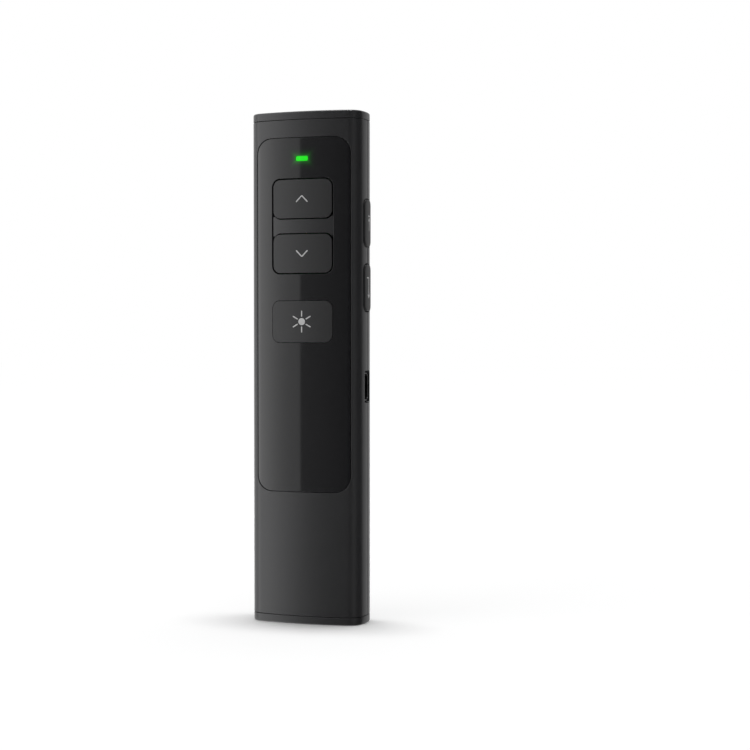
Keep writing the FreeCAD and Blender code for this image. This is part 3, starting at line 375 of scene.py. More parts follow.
def blended(wire, factor, first, second):
    return wire.node("ShaderNodeMix", {"data_type": "RGBA"}, {
        "Factor": factor, 6: (*first, 1.0), 7: (*second, 1.0)}, output=2)


def noise(wire, place, scale, detail=3.0):
    return wire.node("ShaderNodeTexNoise", values={"Vector": place, "Scale": scale, "Detail": detail})


def raised(wire, height, distance):
    return wire.node("ShaderNodeBump", values={"Height": height, "Strength": 1.0, "Distance": distance})


def moulded_plastic(name, colour, roughness, grain, depth, drift=0.08):
    """Moulded plastic: a fine eroded grain, and broad soft changes of sheen from the mould's flow."""
    material, wire = new_finish(name)
    place = wire.node("ShaderNodeTexCoord", output="Object")
    flow = noise(wire, place, 70.0, 4.0)
    fine = noise(wire, place, grain, 2.0)
    laid_on(wire, wire.node("ShaderNodeBsdfPrincipled", values={
        "Base Color": blended(wire, flow, *(
            [part * (1 + change) for part in colour] for change in (-drift, drift))),
        "Roughness": roughness * (1 - drift) + flow * (2 * drift * roughness) + fine * 0.02 - 0.01,
        "Normal": raised(wire, fine, depth),
    }))
    return material


shell_finish = moulded_plastic("satin_shell", (0.02, 0.02, 0.0215), 0.36, 5200.0, SHELL_GRAIN)

seam_run = run_to_side(SEAM_Y - SEAM_GAP / 2)
slot_depth = seam_run - run_to_side(SEAM_Y - SLOT_HALF_WIDTH)
key_depth = seam_run - run_to_side(SEAM_Y - SIDE_KEY_HALF_WIDTH - SIDE_KEY_GAP)
port_depth = seam_run - run_to_side(PORT_Y - PORT_HALF_WIDTH)
key_hole_length = SIDE_KEY_LENGTH + 2 * SIDE_KEY_GAP
key_hole_corner = SIDE_KEY_CORNER + SIDE_KEY_GAP

# The skin's outline, anticlockwise from the lower left, with the right side's openings first.
front = bmesh.new()
pen = Pen(front, -seam_run, SHELL_LOW)
pen.go(2 * seam_run)
pen.face(90)
pen.go(PORT_HEIGHT - PORT_HALF_LENGTH - SHELL_LOW)
pen.notch(port_depth, 2 * PORT_HALF_LENGTH, PORT_CORNER, BITE_STEPS)
reached = PORT_HEIGHT + PORT_HALF_LENGTH
for height in sorted(SIDE_KEY_HEIGHTS):
    pen.go(height - key_hole_length / 2 - reached)
    pen.notch(key_depth, key_hole_length, key_hole_corner, BITE_STEPS)
    reached = height + key_hole_length / 2
pen.go(SHELL_HIGH - reached)
pen.face(90)
pen.go(2 * seam_run)
pen.face(90)
pen.go(SHELL_HIGH - SLOT_HEIGHT - SLOT_LENGTH / 2)
pen.notch(slot_depth, SLOT_LENGTH, slot_depth, BITE_STEPS)
pen.go(SLOT_HEIGHT - SLOT_LENGTH / 2 - SHELL_LOW)
shell_outline = pen.close()

# The recess for the panel, the openings in its floor, and the walls down to the inside.
recess_half = run_to(PANEL_HALF_WIDTH) + PANEL_GAP
panel_middle = (PANEL_LOW + PANEL_HIGH) / 2
panel_half_height = (PANEL_HIGH - PANEL_LOW) / 2
recess_outline = drawn_bar(
    front, 0.0, panel_middle, recess_half, panel_half_height + PANEL_GAP,
    PANEL_CORNER + PANEL_GAP, PANEL_STEPS)
rounded(front, filled(front, shell_outline + recess_outline), SHELL_EDGE)


def in_recess(edge):
    return all(abs(vert.co.x) < recess_half + TOUCH
               and abs(vert.co.y - panel_middle) < panel_half_height + PANEL_GAP + TOUCH
               for vert in edge.verts)


def drawn_windows(drawing, page_spans, level=0.0):
    """The outlines of the openings round the page keys, the laser key and the light."""
    windows = [(*span, PAGE_KEY_HALF_WIDTH, PAGE_KEY_GAP) for span in page_spans]
    windows.append((*LASER_KEY_SPAN, LASER_KEY_HALF_WIDTH, LASER_KEY_GAP))
    outlines = []
    for low, high, half_width, gap in windows:
        outlines += drawn_bar(
            drawing, 0.0, (low + high) / 2, run_to(half_width + gap), (high - low) / 2 + gap,
            KEY_CORNER + gap, HOLE_STEPS, level)
    return outlines + drawn_bar(
        drawing, 0.0, LIGHT_HEIGHT, LIGHT_HALF_LENGTH + LIGHT_FIT, LIGHT_HALF_HEIGHT + LIGHT_FIT,
        LIGHT_CORNER + LIGHT_FIT, HOLE_STEPS, level)


recess_rim = [edge for edge in open_edges(front) if in_recess(edge)]
outer_rim = [edge for edge in open_edges(front) if not in_recess(edge)]
floor_rims = dropped(front, recess_rim, PANEL_THICKNESS - SHELL_EDGE)
floor_level = SHELL_EDGE - PANEL_THICKNESS
holes = drawn_windows(front, (PAGE_UP_SPAN, PAGE_DOWN_SPAN), floor_level)
filled(front, floor_rims + holes)
backs = dropped(front, holes, WALL - PANEL_THICKNESS) + dropped(front, outer_rim, WALL - SHELL_EDGE)
filled(front, backs)

# The bridge between the page keys, whose corners run out in cusps between the keys' round ones.
cusp_in = KEY_CORNER - (KEY_CORNER + BRIDGE_GAP) * math.cos(math.radians(BRIDGE_TURN))
cusp_up = KEY_CORNER - (KEY_CORNER + BRIDGE_GAP) * math.sin(math.radians(BRIDGE_TURN))
key_run = run_to(PAGE_KEY_HALF_WIDTH)
pen = Pen(front, -key_run, PAGE_DOWN_SPAN[1] - cusp_up, SHELL_EDGE - BRIDGE_INSET - BRIDGE_EDGE)
for _ in range(2):
    pen.go(cusp_in)
    pen.face(BRIDGE_TURN)
    pen.bend(KEY_CORNER + BRIDGE_GAP, -BRIDGE_TURN, BITE_STEPS)
    pen.go(2 * (key_run - KEY_CORNER))
    pen.bend(KEY_CORNER + BRIDGE_GAP, -BRIDGE_TURN, BITE_STEPS)
    pen.face(BRIDGE_TURN)
    pen.go(cusp_in)
    pen.face(90)
    pen.go(PAGE_UP_SPAN[0] - PAGE_DOWN_SPAN[1] + 2 * cusp_up)
    pen.face(90)
rounded(front, filled(front, pen.close()), BRIDGE_EDGE)
filled(front, dropped(front, open_edges(front), PANEL_THICKNESS - BRIDGE_INSET - BRIDGE_EDGE + BRIDGE_ROOT))

# The lips behind the seam, which stop short of the side openings.
port_low = PORT_HEIGHT - PORT_HALF_LENGTH - LIP_CLEAR
port_high = PORT_HEIGHT + PORT_HALF_LENGTH + LIP_CLEAR
key_half = key_hole_length / 2 + LIP_CLEAR
slot_half = SLOT_LENGTH / 2 + LIP_CLEAR
lips = [
    (1, SHELL_LOW + LIP_END, port_low), (1, port_high, SIDE_KEY_HEIGHTS[1] - key_half),
    (1, SIDE_KEY_HEIGHTS[1] + key_half, SIDE_KEY_HEIGHTS[0] - key_half),
    (1, SIDE_KEY_HEIGHTS[0] + key_half, SHELL_HIGH - LIP_END),
    (-1, SHELL_LOW + LIP_END, SLOT_HEIGHT - slot_half), (-1, SLOT_HEIGHT + slot_half, SHELL_HIGH - LIP_END),
]
for side, low, high in lips:
    lip = drawn_bar(
        front, side * run_to_side(SEAM_Y), (low + high) / 2, LIP_HALF_WIDTH, (high - low) / 2,
        LIP_CORNER, LIP_STEPS, SHELL_EDGE - WALL - LIP_LIFT)
    filled(front, lip)
    filled(front, dropped(front, lip, LIP_THICKNESS))
moved(front, (0, 0, -SHELL_EDGE))
bent(front)
finished(front, "front_shell_moulding", "case", shell_finish, ["front_shell"])

# Rear shell: the other half of the case, the same moulding stock. It is drawn as seen from behind,
# and its edge has the slit that shows behind the bridge between the two side keys.
REAR_EDGE = 0.14
BRIDGE_SLIT = 0.44

rear_seam = run_to_side(-SEAM_Y - SEAM_GAP / 2)


def rear_depth(middle_y, half_width):
    """How deep a side opening bites into the rear shell's edge."""
    return rear_seam - run_to_side(-middle_y - half_width)


rear_slot_depth = rear_depth(SEAM_Y, SLOT_HALF_WIDTH)
rear_port_depth = rear_depth(PORT_Y, PORT_HALF_WIDTH)
rear = bmesh.new()
pen = Pen(rear, -rear_seam, SHELL_LOW)
pen.go(2 * rear_seam)
pen.face(90)
pen.go(SLOT_HEIGHT - SLOT_LENGTH / 2 - SHELL_LOW)
pen.notch(rear_slot_depth, SLOT_LENGTH, rear_slot_depth, BITE_STEPS)
pen.go(SHELL_HIGH - SLOT_HEIGHT - SLOT_LENGTH / 2)
pen.face(90)
pen.go(2 * rear_seam)
pen.face(90)
reached = SHELL_HIGH
slits = [(0.0, BRIDGE_SLIT), (BRIDGE_SLIT, 0.0)]
for height, (before, after) in zip(SIDE_KEY_HEIGHTS, slits):
    pen.go(reached - height - key_hole_length / 2)
    pen.notch(rear_depth(SEAM_Y, SIDE_KEY_HALF_WIDTH + SIDE_KEY_GAP), key_hole_length,
              key_hole_corner, BITE_STEPS, before, after)
    reached = height - key_hole_length / 2
pen.go(reached - PORT_HEIGHT - PORT_HALF_LENGTH)
pen.notch(rear_port_depth, 2 * PORT_HALF_LENGTH, PORT_CORNER, BITE_STEPS)
pen.go(PORT_HEIGHT - PORT_HALF_LENGTH - SHELL_LOW)
outline = pen.close()
rounded(rear, filled(rear, outline), REAR_EDGE)
filled(rear, dropped(rear, open_edges(rear), WALL - REAR_EDGE))
moved(rear, (0, 0, -REAR_EDGE))
bent(rear, backwards=True)
finished(rear, "rear_shell_moulding", "case", shell_finish, ["rear_shell"])

# Front panel: a black overlay polished to a mirror and glued into the recess, with one tall window
# round the two page keys, one round the laser key and a small one for the indicator.
PANEL_EDGE = 0.06
PANEL_SHEET = 0.77
GLOW_REACH = 0.45
POLISH_WAVES = 0.000004
GLOW_COLOUR = (0.0, 0.14, 0.0)
BLACK = (0.0, 0.0, 0.0)


def parts_of(wire, place, names):
    """The named coordinates of a place, in millimetres."""
    split = wire.node("ShaderNodeSeparateXYZ", values={"Vector": place}).socket.node.outputs
    return [Wire(wire.tree, split[name]) / MILLIMETRE for name in names]


def polished_panel(name, colour, roughness):
    """Polished plastic, a mirror but for faint handling, with the lamp's glow bleeding into it."""
    material, wire = new_finish(name)
    place = wire.node("ShaderNodeTexCoord", output="Object")
    x, z = parts_of(wire, place, "XZ")
    across = wire.sum("ABSOLUTE", x) - LIGHT_HALF_LENGTH
    up = wire.sum("ABSOLUTE", z - LIGHT_HEIGHT) - LIGHT_HALF_HEIGHT
    away = wire.sum("MAXIMUM", wire.sum("MAXIMUM", across, up), 0.0) / GLOW_REACH
    laid_on(wire, wire.node("ShaderNodeBsdfPrincipled", values={
        "Base Color": (*colour, 1.0),
        "Roughness": roughness + noise(wire, place, 45.0, 5.0) * roughness,
        "Emission Color": blended(wire, wire.sum("EXPONENT", away * -1.0), BLACK, GLOW_COLOUR),
        "Emission Strength": 1.0,
        "Normal": raised(wire, noise(wire, place, 30.0, 1.0), POLISH_WAVES),
    }))
    return material


panel_finish = polished_panel("polished_panel", (0.010, 0.010, 0.011), 0.05)
panel = bmesh.new()
outlines = drawn_bar(
    panel, 0.0, panel_middle, run_to(PANEL_HALF_WIDTH), panel_half_height, PANEL_CORNER,
    PANEL_STEPS)
outlines += drawn_windows(panel, [(PAGE_DOWN_SPAN[0], PAGE_UP_SPAN[1])])
rounded(panel, filled(panel, outlines), PANEL_EDGE)
filled(panel, dropped(panel, open_edges(panel), PANEL_SHEET - PANEL_EDGE))
moved(panel, (0, 0, -PANEL_EDGE))
bent(panel)
finished(panel, "panel_overlay", "case", panel_finish, ["front_panel"])

# Front keys: matte mouldings bowed like the face, two flush page keys and a slightly proud laser
# key. Their signs are pad-printed in light grey ink.
KEY_EDGE = 0.14
KEY_DEPTH = 2.25
KEY_STEPS = 8
LASER_KEY_PROUD = 0.17
INK = 0.02
SIGN_STROKE = 0.31
CHEVRON_ARM = 1.9
CHEVRON_BEND = 0.25
CHEVRON_TURN = 92.0
SUN_RADIUS = 0.93
SUN_RAYS = (30, 90, 150, 210, 270, 330)
RAY_START = 1.3
RAY_END = 2.85
RAY_WIDTH = 0.3
STROKE_STEPS = 6
BAR_STEPS = 3
SUN_STEPS = 32
KEY_GRAIN = 0.000005
INK_GRAIN = 0.000002

key_finish = moulded_plastic("matte_key", (0.015, 0.015, 0.016), 0.5, 6200.0, KEY_GRAIN)
ink_finish = moulded_plastic("grey_ink", (0.5, 0.5, 0.5), 0.6, 9000.0, INK_GRAIN)


def key_top(half_width, span, proud):
    low, high = span
    key = bmesh.new()
    outline = drawn_bar(
        key, 0.0, (low + high) / 2, run_to(half_width), (high - low) / 2, KEY_CORNER, KEY_STEPS)
    rounded(key, filled(key, outline), KEY_EDGE)
    filled(key, dropped(key, open_edges(key), KEY_DEPTH + proud - KEY_EDGE))
    moved(key, (0, 0, proud - KEY_EDGE))
    bent(key)
    return key


def turned(drawing, degrees, axis="Z"):
    turn = Matrix.Rotation(math.radians(degrees), 3, axis)
    bmesh.ops.rotate(drawing, cent=(0, 0, 0), matrix=turn, verts=drawing.verts[:])


def printed(drawing, outlines, level):
    """Lays ink inside the outlines: a thin raised film on the skin at a level."""
    filled(drawing, outlines)
    dropped(drawing, open_edges(drawing), 2 * INK)
    filled(drawing, open_edges(drawing))
    moved(drawing, (0, 0, level + INK))


def chevron(middle_y, points_up):
    """The stroke of a chevron: out along one arm, round the tip, and back."""
    sign = bmesh.new()
    lean = (180 - CHEVRON_TURN) / 2
    half = SIGN_STROKE / 2
    pen = Pen(sign, 0.0, 0.0)
    pen.face(CHEVRON_TURN / 2)
    for radius, turn in ((CHEVRON_BEND + half, -CHEVRON_TURN), (CHEVRON_BEND - half, CHEVRON_TURN)):
        pen.go(CHEVRON_ARM)
        pen.bend(radius, turn, STROKE_STEPS)
        pen.go(CHEVRON_ARM)
        pen.bend(half, -180, STROKE_STEPS)
    outline = pen.close()
    low_x = min(vert.co.x for vert in sign.verts)
    high_x = max(vert.co.x for vert in sign.verts)
    low_y = min(vert.co.y for vert in sign.verts)
    high_y = max(vert.co.y for vert in sign.verts)
    moved(sign, (-(low_x + high_x) / 2, -(low_y + high_y) / 2, 0))
    if not points_up:
        turned(sign, 180)
    moved(sign, (0, middle_y, 0))
    printed(sign, outline, 0.0)
    return sign


page_keys = [("page_up", PAGE_UP_SPAN, True), ("page_down", PAGE_DOWN_SPAN, False)]
for body, span, points_up in page_keys:
    key = key_top(PAGE_KEY_HALF_WIDTH, span, 0.0)
    finished(key, body + "_key_top", body, key_finish, [body + "_key"])
    sign = chevron(sum(span) / 2, points_up)
    bent(sign)
    finished(sign, body + "_sign", body, ink_finish)

key = key_top(LASER_KEY_HALF_WIDTH, LASER_KEY_SPAN, LASER_KEY_PROUD)
finished(key, "laser_key_top", "laser_button", key_finish, ["laser_key"])
sun = bmesh.new()
middle = sum(LASER_KEY_SPAN) / 2
bmesh.ops.create_circle(sun, cap_ends=False, radius=SUN_RADIUS, segments=SUN_STEPS)
outlines = sun.edges[:]
for turn in SUN_RAYS:
    before = set(sun.verts)
    outlines += drawn_bar(
        sun, (RAY_START + RAY_END) / 2, 0.0, (RAY_END - RAY_START) / 2, RAY_WIDTH / 2,
        RAY_WIDTH / 4, BAR_STEPS)
    ray = [vert for vert in sun.verts if vert not in before]
    bmesh.ops.rotate(sun, cent=(0, 0, 0), matrix=Matrix.Rotation(math.radians(turn), 3, "Z"), verts=ray)
moved(sun, (0, middle, 0))
printed(sun, outlines, LASER_KEY_PROUD)
bent(sun)
finished(sun, "laser_sign", "laser_button", ink_finish)

# Indicator: the end of a clear moulded light pipe, pushed into the panel's small window from
# behind and lit green by the lamp on the board.
LIGHT_INSET = 0.05
LIGHT_EDGE = 0.1
LIGHT_DEPTH = 1.5


def lit_pipe(name, first, second, strength):
    """Clear plastic lit from behind, its light a little cloudy."""
    material, wire = new_finish(name)
    place = wire.node("ShaderNodeTexCoord", output="Object")
    glow = blended(wire, noise(wire, place, 900.0, 2.0), first, second)
    laid_on(wire, wire.node("ShaderNodeBsdfPrincipled", values={
        "Base Color": glow, "Roughness": 0.2, "Emission Color": glow, "Emission Strength": strength}))
    return material


light_finish = lit_pipe("lit_green", (0.004, 0.42, 0.004), (0.0052, 0.546, 0.0052), 0.95)
light = bmesh.new()
outline = drawn_bar(
    light, 0.0, LIGHT_HEIGHT, LIGHT_HALF_LENGTH, LIGHT_HALF_HEIGHT, LIGHT_CORNER, HOLE_STEPS)
rounded(light, filled(light, outline), LIGHT_EDGE)
filled(light, dropped(light, open_edges(light), LIGHT_DEPTH))
moved(light, (0, 0, -LIGHT_EDGE - LIGHT_INSET))
bent(light)
finished(light, "indicator_window", "case", light_finish, ["indicator_light_pipe"])

# End caps: mouldings of the shells' plastic, each a band flush with the case and a skirt that plugs
# into the shells. The top one has the laser's aperture, and the bottom one the receiver's bay.
CAP_EDGE = 0.45
CAP_EDGE_STEPS = 6
CAP_SEAM_EDGE = 0.14
CAP_FIT = 0.06
SKIRT_WALL = 1.2
SKIRT_DEPTH = 3.0
FACE_STEPS = 12
CORNER_STEPS = 14
SIDE_STEPS = 8
APERTURE_RADIUS = 1.9
APERTURE_EDGE = 0.2
LASER_SEAT = 0.8
COLLAR_OUTER = 4.05
COLLAR_BORE = 3.05
COLLAR_LENGTH = 6.0
ROUND_STEPS = 48
MOUTH_EDGE = 0.2
MOUTH_HALF = (7.55, 3.25)
MOUTH_CORNER = 1.35
MOUTH_DEPTH = 6.95
THROAT_HALF = (6.15, 2.4)
THROAT_CORNER = 0.3
BAY_DEPTH = 19.2
SLEEVE_HALF = (8.55, 4.25)
SLEEVE_CORNER = 0.4
SLEEVE_TOP = 20.2
SCOOP_RADIUS = 4.5
SCOOP_MIDDLE = -3.2
SCOOP_FRONT = 3.1
SCOOP_LENGTH = 5.0
SCOOP_STEPS = 96


def drawn_case(drawing, inset, level):
    """The case's whole outline, moved in by inset."""
    pen = Pen(drawing, 0.0, inset - HALF_DEPTH, level)
    face = math.degrees(FACE_TURN)
    corner = math.degrees(SIDE_TURN - FACE_TURN)
    side = 180 - 2 * math.degrees(SIDE_TURN)
    for _ in range(2):
        pen.bend(FACE_RADIUS - inset, face, FACE_STEPS)
        pen.bend(CORNER_RADIUS - inset, corner, CORNER_STEPS)
        pen.bend(SIDE_RADIUS - inset, side, SIDE_STEPS)
        pen.bend(CORNER_RADIUS - inset, corner, CORNER_STEPS)
        pen.bend(FACE_RADIUS - inset, face, FACE_STEPS)
    return pen.close()


def drawn_circle(drawing, radius, level):
    pen = Pen(drawing, 0.0, -radius, level)
    pen.bend(radius, 360, ROUND_STEPS)
    return pen.close()


def drawn_mouth(drawing, half, corner, grow, level):
    return drawn_bar(drawing, 0.0, 0.0, half[0] + grow, half[1] + grow, corner + grow, KEY_STEPS, level)


def skinned(drawing, loops):
    """Joins a row of loops with walls and returns the first and last loop."""
    for low, high in zip(loops, loops[1:]):
        bmesh.ops.bridge_loops(drawing, edges=low + high)
    return loops[0], loops[-1]


def quarter(edge, steps):
    """How far in and how far up each loop of a rounded rim lies."""
    turns = [math.pi / 2 * step / steps for step in range(steps + 1)]
    return [(edge * (1 - math.cos(turn)), edge * math.sin(turn)) for turn in turns]


def cap_band(drawing):
    """The band, its end face upwards at the band's height, with the skirt that hangs from it."""
    inner_rim = drawn_case(drawing, WALL + CAP_FIT + SKIRT_WALL, 0.0)
    inner_foot = dropped(drawing, inner_rim, SKIRT_DEPTH)
    outer_foot = drawn_case(drawing, WALL + CAP_FIT, -SKIRT_DEPTH)
    filled(drawing, inner_foot + outer_foot)
    outer_root = dropped(drawing, outer_foot, -SKIRT_DEPTH)
    seam_rim, seam_edge = skinned(drawing, [
        drawn_case(drawing, across, CAP_SEAM_EDGE - up)
        for across, up in reversed(quarter(CAP_SEAM_EDGE, EDGE_STEPS))])
    filled(drawing, outer_root + seam_rim)
    side_top = dropped(drawing, seam_edge, CAP_SEAM_EDGE + CAP_EDGE - CAP_BAND)
    side_top, face_edge = skinned(drawing, [side_top] + [
        drawn_case(drawing, across, CAP_BAND - CAP_EDGE + up)
        for across, up in quarter(CAP_EDGE, CAP_EDGE_STEPS)[1:]])
    face_rim = drawn_case(drawing, CAP_EDGE + EDGE_KEEP, CAP_BAND)
    filled(drawing, face_edge + face_rim)
    return inner_rim, face_rim


top = bmesh.new()
inner_rim, face_rim = cap_band(top)
aperture_rim, throat = skinned(top, [
    drawn_circle(top, APERTURE_RADIUS + across, CAP_BAND - APERTURE_EDGE + up)
    for across, up in reversed(quarter(APERTURE_EDGE, EDGE_STEPS))])
seat = dropped(top, throat, LASER_SEAT - APERTURE_EDGE)
bore = drawn_circle(top, COLLAR_BORE, CAP_BAND - LASER_SEAT)
filled(top, seat + bore)
collar_end = dropped(top, bore, CAP_BAND - LASER_SEAT + COLLAR_LENGTH)
collar = drawn_circle(top, COLLAR_OUTER, -COLLAR_LENGTH)
filled(top, collar_end + collar)
collar_root = dropped(top, collar, -COLLAR_LENGTH)
filled(top, face_rim + aperture_rim)
filled(top, inner_rim + collar_root)
moved(top, (0, 0, CASE_HEIGHT - CAP_BAND))
finished(top, "top_cap_moulding", "case", shell_finish, ["top_cap"])

bottom = bmesh.new()
inner_rim, face_rim = cap_band(bottom)
mouth_rim, mouth = skinned(bottom, [
    drawn_mouth(bottom, MOUTH_HALF, MOUTH_CORNER, across, CAP_BAND - MOUTH_EDGE + up)
    for across, up in reversed(quarter(MOUTH_EDGE, EDGE_STEPS))])
step = dropped(bottom, mouth, MOUTH_DEPTH - MOUTH_EDGE)
throat = drawn_mouth(bottom, THROAT_HALF, THROAT_CORNER, 0.0, CAP_BAND - MOUTH_DEPTH)
filled(bottom, step + throat)
bay_end = dropped(bottom, throat, BAY_DEPTH - MOUTH_DEPTH)
sleeve_root = drawn_mouth(bottom, SLEEVE_HALF, SLEEVE_CORNER, 0.0, 0.0)
sleeve_end = dropped(bottom, sleeve_root, SLEEVE_TOP - CAP_BAND)
filled(bottom, face_rim + mouth_rim)
filled(bottom, inner_rim + sleeve_root)
filled(bottom, bay_end)
filled(bottom, sleeve_end)
turned(bottom, 180, "X")
moved(bottom, (0, 0, CAP_BAND))
bottom_cap = finished(
    bottom, "bottom_cap_moulding", "case", shell_finish, ["bottom_cap"])

# The thumb's scoop behind the bay, a round cut through the cap's end by which the grip is pulled.
scoop = bmesh.new()
bmesh.ops.create_cone(
    scoop, cap_ends=True, segments=SCOOP_STEPS, radius1=SCOOP_RADIUS, radius2=SCOOP_RADIUS,
    depth=2 * SCOOP_LENGTH)
turned(scoop, 90, "X")
moved(scoop, (0, SCOOP_FRONT + SCOOP_LENGTH, SCOOP_MIDDLE))
cutter = object_of(scoop, "scoop", shell_finish)
cut = bottom_cap.modifiers.new("scoop", "BOOLEAN")
cut.object = cutter
cut.solver = "EXACT"
scooped = bpy.data.meshes.new_from_object(
    bottom_cap.evaluated_get(bpy.context.evaluated_depsgraph_get()))
bottom_cap.modifiers.clear()
bottom_cap.data = scooped
bpy.data.objects.remove(cutter)

# Side keys: two matte mouldings alike, a little proud of the right side and set across the seam of
# the two shells. Each has a printed sign that reads upwards.
SIDE_KEY_PROUD = 0.28
SIDE_KEY_EDGE = 0.35
SIDE_KEY_DEPTH = 2.25
SIDE_SIGN_Y = 0.9
TAB_SIGN_HALF = 2.0
ENTER_SIGN_HALF = 2.8
SIDE_STROKE = 0.3
ARROW_LENGTH = 1.0
ARROW_HALF_WIDTH = 0.8
BAR_GAP = 0.2
HOOK_RISE = 1.2
HOOK_SHIFT = 0.4


def side_sign(drawing, half, hooked):
    """An arrow that ends at a bar, or one that comes round a corner, drawn pointing right."""
    wing = math.hypot(ARROW_LENGTH, ARROW_HALF_WIDTH)
    slope = math.degrees(math.atan2(ARROW_HALF_WIDTH, ARROW_LENGTH))
    shaft = 2 * half - ARROW_LENGTH - (0.0 if hooked else BAR_GAP + SIDE_STROKE)
    pen = Pen(drawing, -half, -SIDE_STROKE / 2)
    pen.go(shaft)
    pen.face(-90)
    pen.go(ARROW_HALF_WIDTH - SIDE_STROKE / 2)
    pen.face(180 - (90 - slope))
    pen.go(wing)
    pen.face(180 - 2 * slope)
    pen.go(wing)
    pen.face(180 - (90 - slope))
    pen.go(ARROW_HALF_WIDTH - SIDE_STROKE / 2)
    pen.face(-90)
    if not hooked:
        pen.go(shaft)
        pen.face(90)
        pen.go(SIDE_STROKE)
        outlines = pen.close()
        return outlines + drawn_bar(
            drawing, half - SIDE_STROKE / 2, 0.0, SIDE_STROKE / 2, ARROW_HALF_WIDTH,
            SIDE_STROKE / 4, BAR_STEPS)
    pen.go(shaft - SIDE_STROKE)
    pen.face(-90)
    pen.go(HOOK_RISE)
    pen.face(90)
    pen.go(SIDE_STROKE)
    pen.face(90)
    pen.go(HOOK_RISE + SIDE_STROKE)
    return pen.close()


side_keys = [
    ("tab", SIDE_KEY_HEIGHTS[0], TAB_SIGN_HALF, False),
    ("enter", SIDE_KEY_HEIGHTS[1], ENTER_SIGN_HALF, True),
]
for name, height, sign_half, hooked in side_keys:
    key = bmesh.new()
    outline = drawn_bar(
        key, run_to_side(SEAM_Y), height, SIDE_KEY_HALF_WIDTH, SIDE_KEY_LENGTH / 2,
        SIDE_KEY_CORNER, KEY_STEPS)
    rounded(key, filled(key, outline), SIDE_KEY_EDGE)
    filled(key, dropped(key, open_edges(key), SIDE_KEY_DEPTH + SIDE_KEY_PROUD - SIDE_KEY_EDGE))
    moved(key, (0, 0, SIDE_KEY_PROUD - SIDE_KEY_EDGE))
    bent(key)
    finished(key, name + "_key_top", name + "_button", key_finish, [name + "_key"])
    mark = bmesh.new()
    outlines = side_sign(mark, sign_half, hooked)
    if hooked:
        bmesh.ops.scale(mark, vec=(1, -1, 1), verts=mark.verts[:])
    turned(mark, -90 if hooked else 90)
    printed(mark, outlines, SIDE_KEY_PROUD)
    sign_y = SIDE_SIGN_Y - (HOOK_SHIFT if hooked else 0.0)
    moved(mark, (run_to_side(sign_y), height, 0))
    bent(mark)
    finished(mark, name + "_sign", name + "_button", ink_finish)

# Power slider: a ribbed knob that slides in a round-ended slot on the left side, on a carriage
# that fills the slot from behind. ON and OFF are printed beside the slot's two ends.
KNOB_HEIGHT = 98.4
KNOB_HALF_LENGTH = 5.65
KNOB_HALF_WIDTH = 1.55
KNOB_PROUD = 0.28
KNOB_EDGE = 0.3
GRIP_GROOVES = 9
GRIP_PITCH = 0.8
GRIP_HALF_WIDTH = 0.2
GRIP_DEPTH = 0.15
CARRIAGE_INSET = 1.65
CARRIAGE_THICKNESS = 0.8
CARRIAGE_COVER = 0.8
SLIDE_TRAVEL = 1.8
KNOB_STEPS = 10
CARRIAGE_STEPS = 6
LETTER_SIZE = 1.5
LETTER_STRETCH = 1.35
LETTER_SPACING = 1.5
LETTERS = (("ON", 104.1), ("OFF", 89.5))
LETTER_Y = 3.1

slider_finish = moulded_plastic("ribbed_slider", (0.022, 0.022, 0.0235), 0.45, 6200.0, KEY_GRAIN)
knob = bmesh.new()
knob_run = -run_to_side(SEAM_Y)
outline = drawn_bar(
    knob, knob_run, KNOB_HEIGHT, KNOB_HALF_WIDTH, KNOB_HALF_LENGTH, KNOB_HALF_WIDTH, KNOB_STEPS)
rounded(knob, filled(knob, outline), KNOB_EDGE)
for number in range(GRIP_GROOVES):
    middle = KNOB_HEIGHT + (number - (GRIP_GROOVES - 1) / 2) * GRIP_PITCH
    for height in (middle - GRIP_HALF_WIDTH, middle, middle + GRIP_HALF_WIDTH):
        bmesh.ops.bisect_plane(
            knob, geom=knob.verts[:] + knob.edges[:] + knob.faces[:],
            dist=TOUCH, plane_co=(0, height, 0), plane_no=(0, 1, 0))
    for vert in knob.verts:
        if abs(vert.co.y - middle) < TOUCH:
            vert.co.z -= GRIP_DEPTH * vert.co.z / KNOB_EDGE
filled(knob, dropped(knob, open_edges(knob), CARRIAGE_INSET + KNOB_PROUD - KNOB_EDGE))
moved(knob, (0, 0, KNOB_PROUD - KNOB_EDGE))
plate = drawn_bar(
    knob, knob_run, KNOB_HEIGHT, SLOT_HALF_WIDTH + CARRIAGE_COVER,
    SLOT_LENGTH / 2 + SLIDE_TRAVEL / 2 + CARRIAGE_COVER, SLOT_HALF_WIDTH, CARRIAGE_STEPS,
    -CARRIAGE_INSET)
filled(knob, plate)
filled(knob, dropped(knob, plate, CARRIAGE_THICKNESS))
bent(knob)
finished(knob, "power_slider_knob", "power", slider_finish, ["power_slider"])

for word, height in LETTERS:
    letters = bpy.data.curves.new(word, "FONT")
    letters.body = word
    letters.size = LETTER_SIZE
    letters.space_character = LETTER_SPACING
    letters.align_x = "CENTER"
    letters.align_y = "CENTER"
    writing = bpy.data.objects.new(word, letters)
    flat = bpy.data.meshes.new_from_object(writing)
    bpy.data.objects.remove(writing)
    bpy.data.curves.remove(letters)
    ink = bmesh.new()
    ink.from_mesh(flat)
    bpy.data.meshes.remove(flat)
    bmesh.ops.remove_doubles(ink, verts=ink.verts[:], dist=TOUCH)
    bmesh.ops.scale(ink, vec=(LETTER_STRETCH, 1, 1), verts=ink.verts[:])
    turned(ink, -90)
    moved(ink, (-run_to_side(LETTER_Y), height, INK))
    filled(ink, dropped(ink, open_edges(ink), 2 * INK))
    bent(ink)
    finished(ink, "switch_label_" + word.lower(), "case", ink_finish)

